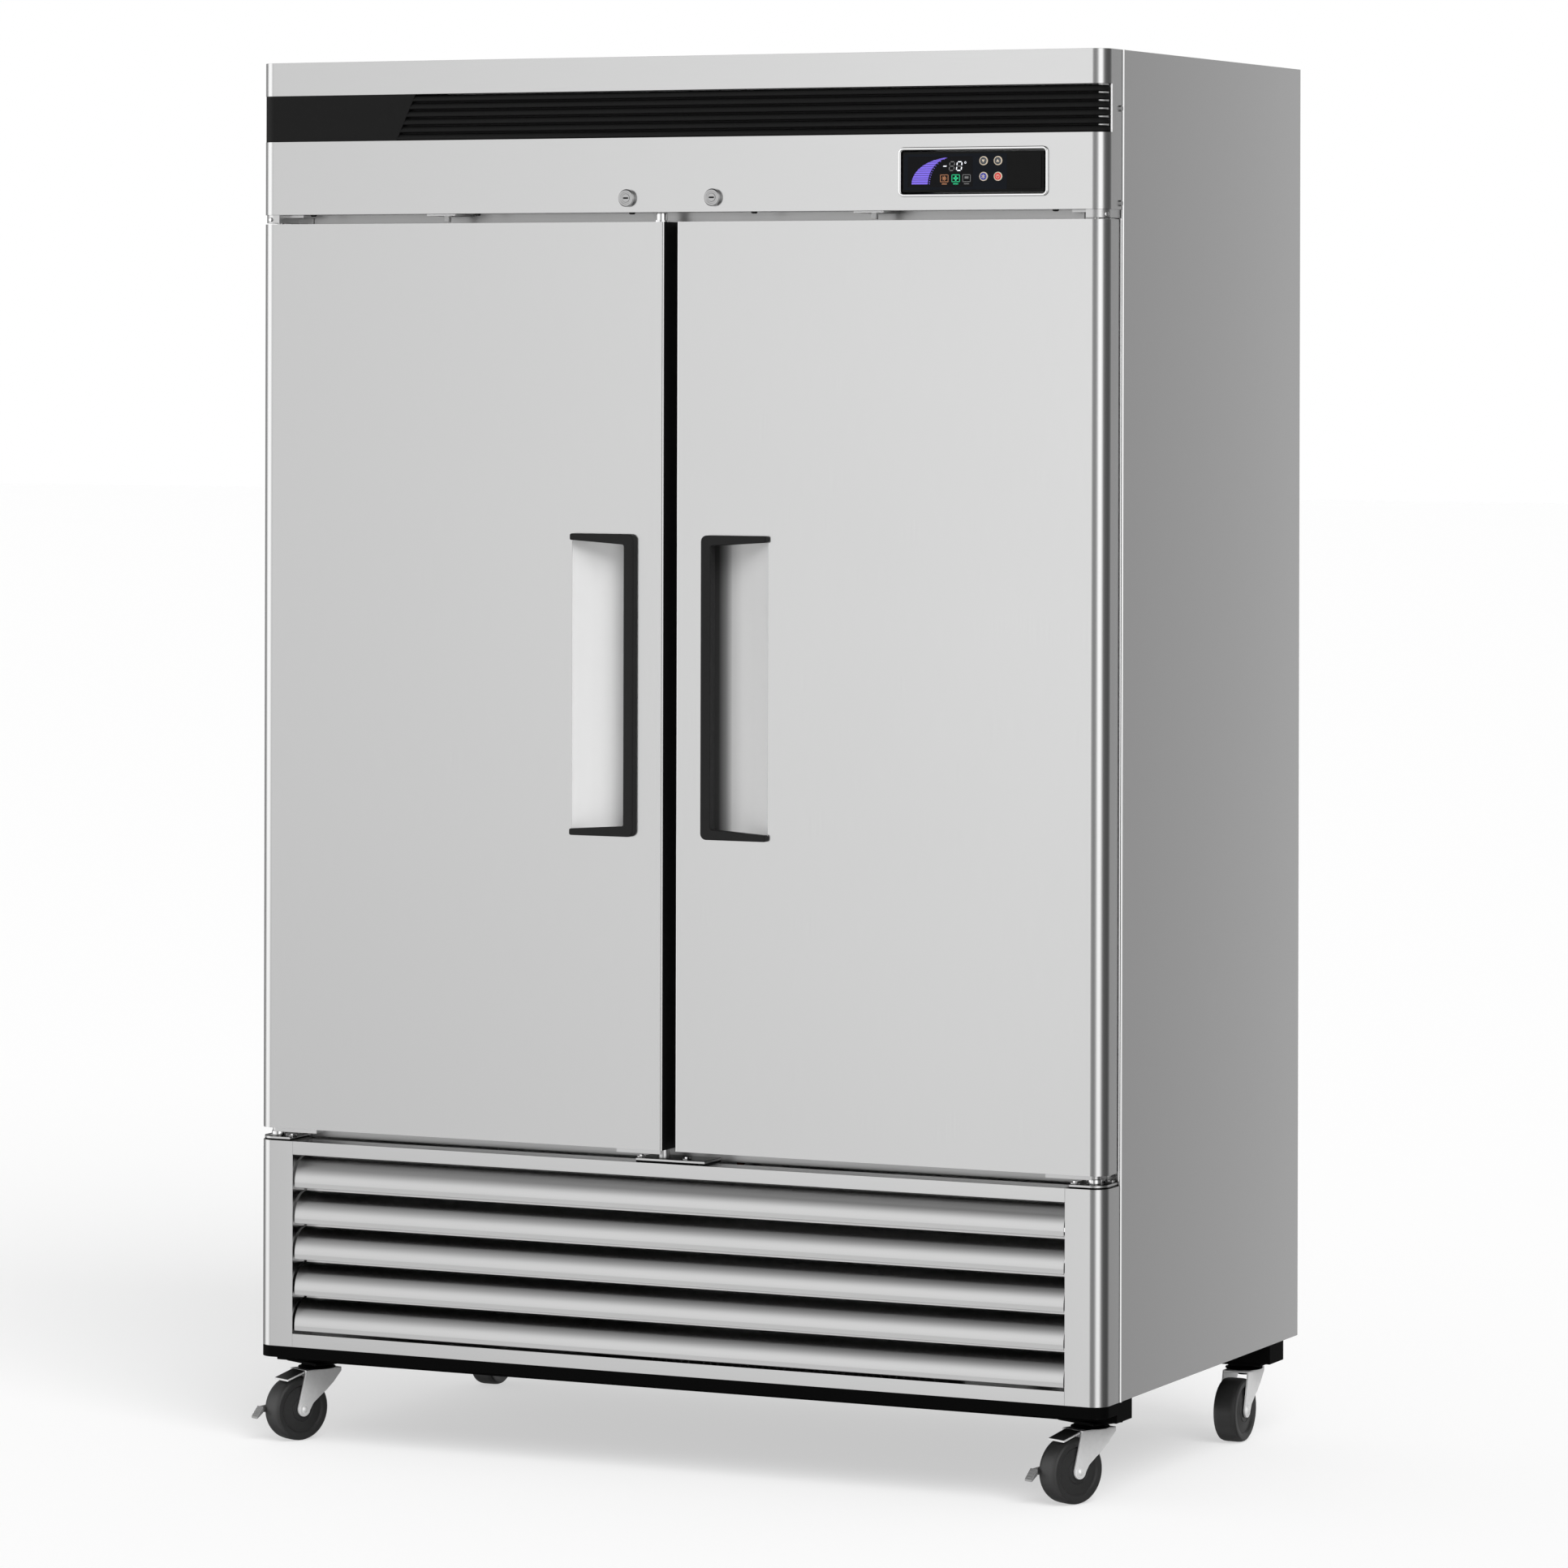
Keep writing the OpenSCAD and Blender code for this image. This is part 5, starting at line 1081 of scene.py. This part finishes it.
def lever():
    bm = bmesh.new()
    arm = [(-LEVER_R, -3 * MM), (-4 * MM, -LEVER_R), (4 * MM, -LEVER_R), (REACH, -LEVER_R / 2), (REACH, LEVER_R / 2),
           (4 * MM, LEVER_R), (-4 * MM, LEVER_R), (-LEVER_R, 3 * MM)]
    shift = Matrix.Translation((TRAIL, 0, WHEEL_R))
    prism(bm, arm, LEVER_T, shift @ side_frame(LEVER_Y), edge=0.6 * MM)
    tip = REACH + FOOT_L
    foot = [(REACH, LEVER_R / 2), (tip, -FOOT_DROP), (tip, -FOOT_DROP - LEVER_T), (REACH, -LEVER_R / 2)]
    prism(bm, foot, FOOT_W, shift @ side_frame(LEVER_Y + LEVER_T - FOOT_W / 2), edge=0.6 * MM)
    fall = FOOT_DROP + LEVER_R / 2
    for share in (0.3, 0.55, 0.8):
        rib = shift @ Matrix.Translation((REACH + share * FOOT_L, 0, LEVER_R / 2 - share * fall))
        rib = rib @ Matrix.Rotation(math.atan2(fall, FOOT_L), 4, "Y")
        before = set(bm.verts)
        block(bm, (-0.8 * MM, LEVER_Y - 4 * MM, -0.5 * MM), (0.8 * MM, LEVER_Y + 9 * MM, 0.8 * MM), 0.3 * MM)
        bmesh.ops.transform(bm, matrix=rib, verts=list(set(bm.verts) - before))
    return bm


for name in CASTERS[:2]:
    bm = place_caster(lever(), name)
    piece(f"{name}_brake_lever", bm, f"{name}_pedal", [zinc_dull], [f"{name}_pedal"])

# %% [markdown]
# ## Door linings and gaskets
# Behind each door a lining is pressed with a raised panel, and a grey gasket runs round it. Both are rings of
# rectangles that step in and out, so they are lofted: each loop is a rectangle at its own inset and depth,
# and neighbouring loops are bridged.
# No two neighbouring loops of the gasket lie in one plane, because a bridge between such loops can cross over.

# %% Linings and gaskets
FLAT, SHEET = 54 * MM, 1.2 * MM
SEAL = [(0, 0), (0.2, 0.25), (2, 0.4), (0.5, 0.6), (0.2, 0.85), (2, 0.99), (11, 1), (20, 0.99), (22, 0.9), (21, 0.6),
        (23.8, 0.4), (24, 0)]


def ring_loft(bm, low, high, steps, close):
    """Bridges rectangles that lie inside low..high, one for each (inset, y) step."""
    loops = []
    for inset, y in steps:
        points = corners(low.x + inset, low.z + inset, high.x - inset, high.z - inset)
        verts = [bm.verts.new((x, y, z)) for x, z in points]
        loops.append([bm.edges.new((a, b)) for a, b in zip(verts, verts[1:] + verts[:1])])
    for first, second in zip(loops, loops[1:]):
        bmesh.ops.bridge_loops(bm, edges=first + second)
    if close:
        bmesh.ops.contextual_create(bm, geom=loops[-1])


for side in ("left", "right"):
    low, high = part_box(f"{side}_door_liner")
    bm = bmesh.new()
    panel = [(1, low.y + 2 * MM), (2.4, high.y - 2 * MM), (3.2, high.y - 0.6 * MM), (5.6, high.y)]
    steps = [(0, low.y), (0.3 * MM, low.y + SHEET), (FLAT, low.y + SHEET)]
    ring_loft(bm, low, high, steps + [(FLAT + inset * MM, y) for inset, y in panel], True)
    piece(f"{side}_door_lining", bm, f"{side}_door", [lining_grey], [f"{side}_door_liner"], sharp=60)
    low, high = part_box(f"{side}_door_gasket")
    bm = bmesh.new()
    steps = [(inset * MM, low.y + share * (high.y - low.y)) for inset, share in SEAL]
    ring_loft(bm, low, high, steps, False)
    piece(f"{side}_door_seal", bm, f"{side}_door", [gasket_grey], [f"{side}_door_gasket"], sharp=50)

# %% [markdown]
# ## Shelves
# A shelf is a grid of round coated wires on three cross rods. A rod is a short cone of equal ends turned to
# lie along Y or X, and each is only a few faces, because there are many.

# %% Shelves


def rod(bm, start, end, diameter, sides=8):
    start, end = Vector(start), Vector(end)
    run = end - start
    turn_to = run.to_track_quat("Z", "Y").to_matrix().to_4x4()
    bmesh.ops.create_cone(bm, cap_ends=True, segments=sides, radius1=diameter / 2, radius2=diameter / 2,
                          depth=run.length, matrix=Matrix.Translation((start + end) / 2) @ turn_to)


SHELF_LEVELS, WIRE, CROSS, WIRES = 3, 5 * MM, 8 * MM, 17
shelf_low, shelf_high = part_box("shelves")
SHELF_TALL, SHELF_X0 = 10.5 * MM, 13 * MM
shelf_step = (shelf_high.z - shelf_low.z - SHELF_TALL) / (SHELF_LEVELS - 1)
bm = bmesh.new()
for level in range(SHELF_LEVELS):
    z = shelf_low.z + level * shelf_step
    for sign in (-1, 1):
        x0, x1 = sign * SHELF_X0, sign * shelf_high.x
        for share in (0, 0.5, 1):
            y = shelf_low.y + CROSS / 2 + share * (shelf_high.y - shelf_low.y - CROSS)
            rod(bm, (x0, y, z + CROSS / 2), (x1, y, z + CROSS / 2), CROSS, 10)
        for i in range(WIRES + 1):
            x = x0 + sign * WIRE / 2 + (x1 - x0 - sign * WIRE) * i / WIRES
            rod(bm, (x, shelf_low.y, z + CROSS), (x, shelf_high.y, z + CROSS), WIRE)
piece("shelf_wires", bm, "cabinet", [shelf_coat], ["shelves"])

# %% [markdown]
# ## Stage
# The floor is a plain white sheet lit evenly, so it ends in the same white as the background and keeps only
# the object's soft shadow. Metal doesn't mirror it: polished sheet shows a studio of pale walls, two bright
# soft boxes and darker flags, which the world paints by direction for glossy rays alone.

# %% Floor
FLOOR_SIZE, FLOOR_WHITE, FLOOR_GLOW = 60, 0.98, 0.55


def sheet(name, place):
    """A flat sheet of the stage, two metres wide before it is placed, and the nodes of its material."""
    bm = bmesh.new()
    bmesh.ops.create_grid(bm, x_segments=1, y_segments=1, size=1, matrix=place)
    mesh = bpy.data.meshes.new(name)
    bm.to_mesh(mesh)
    bm.free()
    material = bpy.data.materials.new(name)
    material.use_nodes = True
    mesh.materials.append(material)
    obj = bpy.data.objects.new(name, mesh)
    bpy.context.scene.collection.objects.link(obj)
    return obj, material.node_tree


def mix_shaders(tree, share, first, second):
    node = tree.nodes.new("ShaderNodeMixShader")
    for socket, source in zip(node.inputs, (share, first, second)):
        tree.links.new(source, socket)
    return node.outputs[0]


floor, tree = sheet("floor", Matrix.Scale(FLOOR_SIZE, 4))
shader = tree.nodes["Principled BSDF"]
shader.inputs["Base Color"].default_value = (FLOOR_WHITE, FLOOR_WHITE, FLOOR_WHITE, 1)
shader.inputs["Roughness"].default_value = 1.0
shader.inputs["Specular IOR Level"].default_value = 0.0
rays = tree.nodes.new("ShaderNodeLightPath")
shine = tree.nodes.new("ShaderNodeEmission")
share = math_node(tree, "MULTIPLY", rays.outputs["Is Camera Ray"], FLOOR_GLOW)
lit = mix_shaders(tree, share, shader.outputs["BSDF"], shine.outputs[0])
tree.links.new(lit, tree.nodes["Material Output"].inputs["Surface"])
floor.visible_glossy = False
print("floor:", 2 * FLOOR_SIZE, "m wide")

# %% [markdown]
# The right side of the cabinet faces a pale card that gets lighter towards the back, which gives the side its
# slow brightening. The card is seen only in reflections.

# %% Side card
CARD_X, CARD_Y0, CARD_Y1, CARD_Z, CARD_HALF = 2.2, 2.6, 7.0, 1.5, 3
CARD_LEVELS = (("From Min", 3.37), ("From Max", 4.39), ("To Min", 0.414), ("To Max", 0.596))
wide = Matrix.Diagonal(((CARD_Y1 - CARD_Y0) / 2, CARD_HALF, 1, 1))
card, tree = sheet("side_card", across(CARD_X, (CARD_Y0 + CARD_Y1) / 2, CARD_Z) @ wide)
tree.nodes.remove(tree.nodes["Principled BSDF"])
level = tree.nodes.new("ShaderNodeMapRange")
for socket, value in CARD_LEVELS:
    level.inputs[socket].default_value = value
level.clamp = False
shine = tree.nodes.new("ShaderNodeEmission")
tree.links.new(axes(tree)["Y"], level.inputs["Value"])
tree.links.new(level.outputs["Result"], shine.inputs["Strength"])
tree.links.new(shine.outputs[0], tree.nodes["Material Output"].inputs["Surface"])
card.visible_camera = card.visible_diffuse = card.visible_shadow = False
print("side card:", round(CARD_Y1 - CARD_Y0, 2), "m deep")

# %% [markdown]
# The world lights the object evenly and is white to the camera. Metal and glass see a studio instead: grey
# levels by bearing, from -180 to 180 degrees round the object with the front at 0, times levels by height.

# %% World
BEARINGS = [(-180, 0.55), (-150, 0.36), (-115, 0.36), (-92, 0.5), (-84, 1.3), (-78, 1.75), (-50, 1.75), (-42, 1.0),
            (-36, 0.84), (-30, 1.0), (-25, 1.26), (-21, 1.48), (-17, 1.45), (-10, 0.5), (3, 0.36), (18, 0.45),
            (28, 1.0), (34, 1.75), (55, 1.75), (63, 0.9), (72, 0.3), (86, 0.16), (116, 0.12), (134, 0.22),
            (147, 0.55), (160, 0.62), (180, 0.58)]
HEIGHTS = [(-1, 0.4), (-0.6, 0.45), (-0.3, 0.64), (-0.13, 0.84), (-0.06, 0.985), (0, 1), (0.35, 1), (0.6, 0.55),
           (0.85, 0.08), (1, 0.03)]
WORLD_LIGHT = 0.5
world = bpy.data.worlds.new("studio")
bpy.context.scene.world = world
world.use_nodes = True
tree = world.node_tree
plain = tree.nodes["Background"]
mirror, white = (tree.nodes.new("ShaderNodeBackground") for _ in range(2))
for node in (plain, white):
    node.inputs["Color"].default_value = (1, 1, 1, 1)
plain.inputs["Strength"].default_value = WORLD_LIGHT
way = axes(tree, "Generated")
bearing = math_node(tree, "ARCTAN2", way["X"], math_node(tree, "MULTIPLY", way["Y"], -1))
walls = ramp(tree, bearing, -math.pi, math.pi, [(math.radians(degrees), level) for degrees, level in BEARINGS])
levels = ramp(tree, way["Z"], -1, 1, HEIGHTS)
tree.links.new(mix_colors(tree, 1, walls, levels, "MULTIPLY"), mirror.inputs["Color"])
rays = tree.nodes.new("ShaderNodeLightPath")
mirrored = math_node(tree, "MAXIMUM", rays.outputs["Is Glossy Ray"], rays.outputs["Is Transmission Ray"])
glossy = mix_shaders(tree, mirrored, plain.outputs[0], mirror.outputs[0])
seen = mix_shaders(tree, rays.outputs["Is Camera Ray"], glossy, white.outputs[0])
tree.links.new(seen, tree.nodes["World Output"].inputs["Surface"])
print("world:", len(BEARINGS), "bearings,", len(HEIGHTS), "heights")

# %% [markdown]
# One wide soft lamp stands high on the front right. The camera is level, as the photo's parallel uprights show, so
# its frame is shifted down from the horizon to take in the whole object.

# %% Lamp and camera
key = bpy.data.lights.new("key", "SUN")
key.energy = 2.3
key.angle = math.radians(40)
key_object = bpy.data.objects.new("key", key)
key_object.rotation_euler = (math.radians(48), 0, math.radians(46))
key_object.visible_glossy = False
bpy.context.scene.collection.objects.link(key_object)
camera = bpy.data.cameras.new("camera")
FRAME_PX, FOCAL_PX, HORIZON_PX = 1932, 8108.2, 432.8
camera.sensor_width = 36
camera.lens = FOCAL_PX / FRAME_PX * camera.sensor_width
camera.shift_y = HORIZON_PX / FRAME_PX - 0.5
camera.clip_end = 200
camera_object = bpy.data.objects.new("camera", camera)
camera_object.location = (4.2499, -9.0544, 1.6504)
camera_object.rotation_euler = (math.radians(90), math.radians(-0.14), math.radians(25.136))
bpy.context.scene.collection.objects.link(camera_object)
bpy.context.scene.camera = camera_object
bpy.context.scene.view_settings.view_transform = "Standard"
print("camera: lens", round(camera.lens, 1), "shift", round(camera.shift_y, 4))
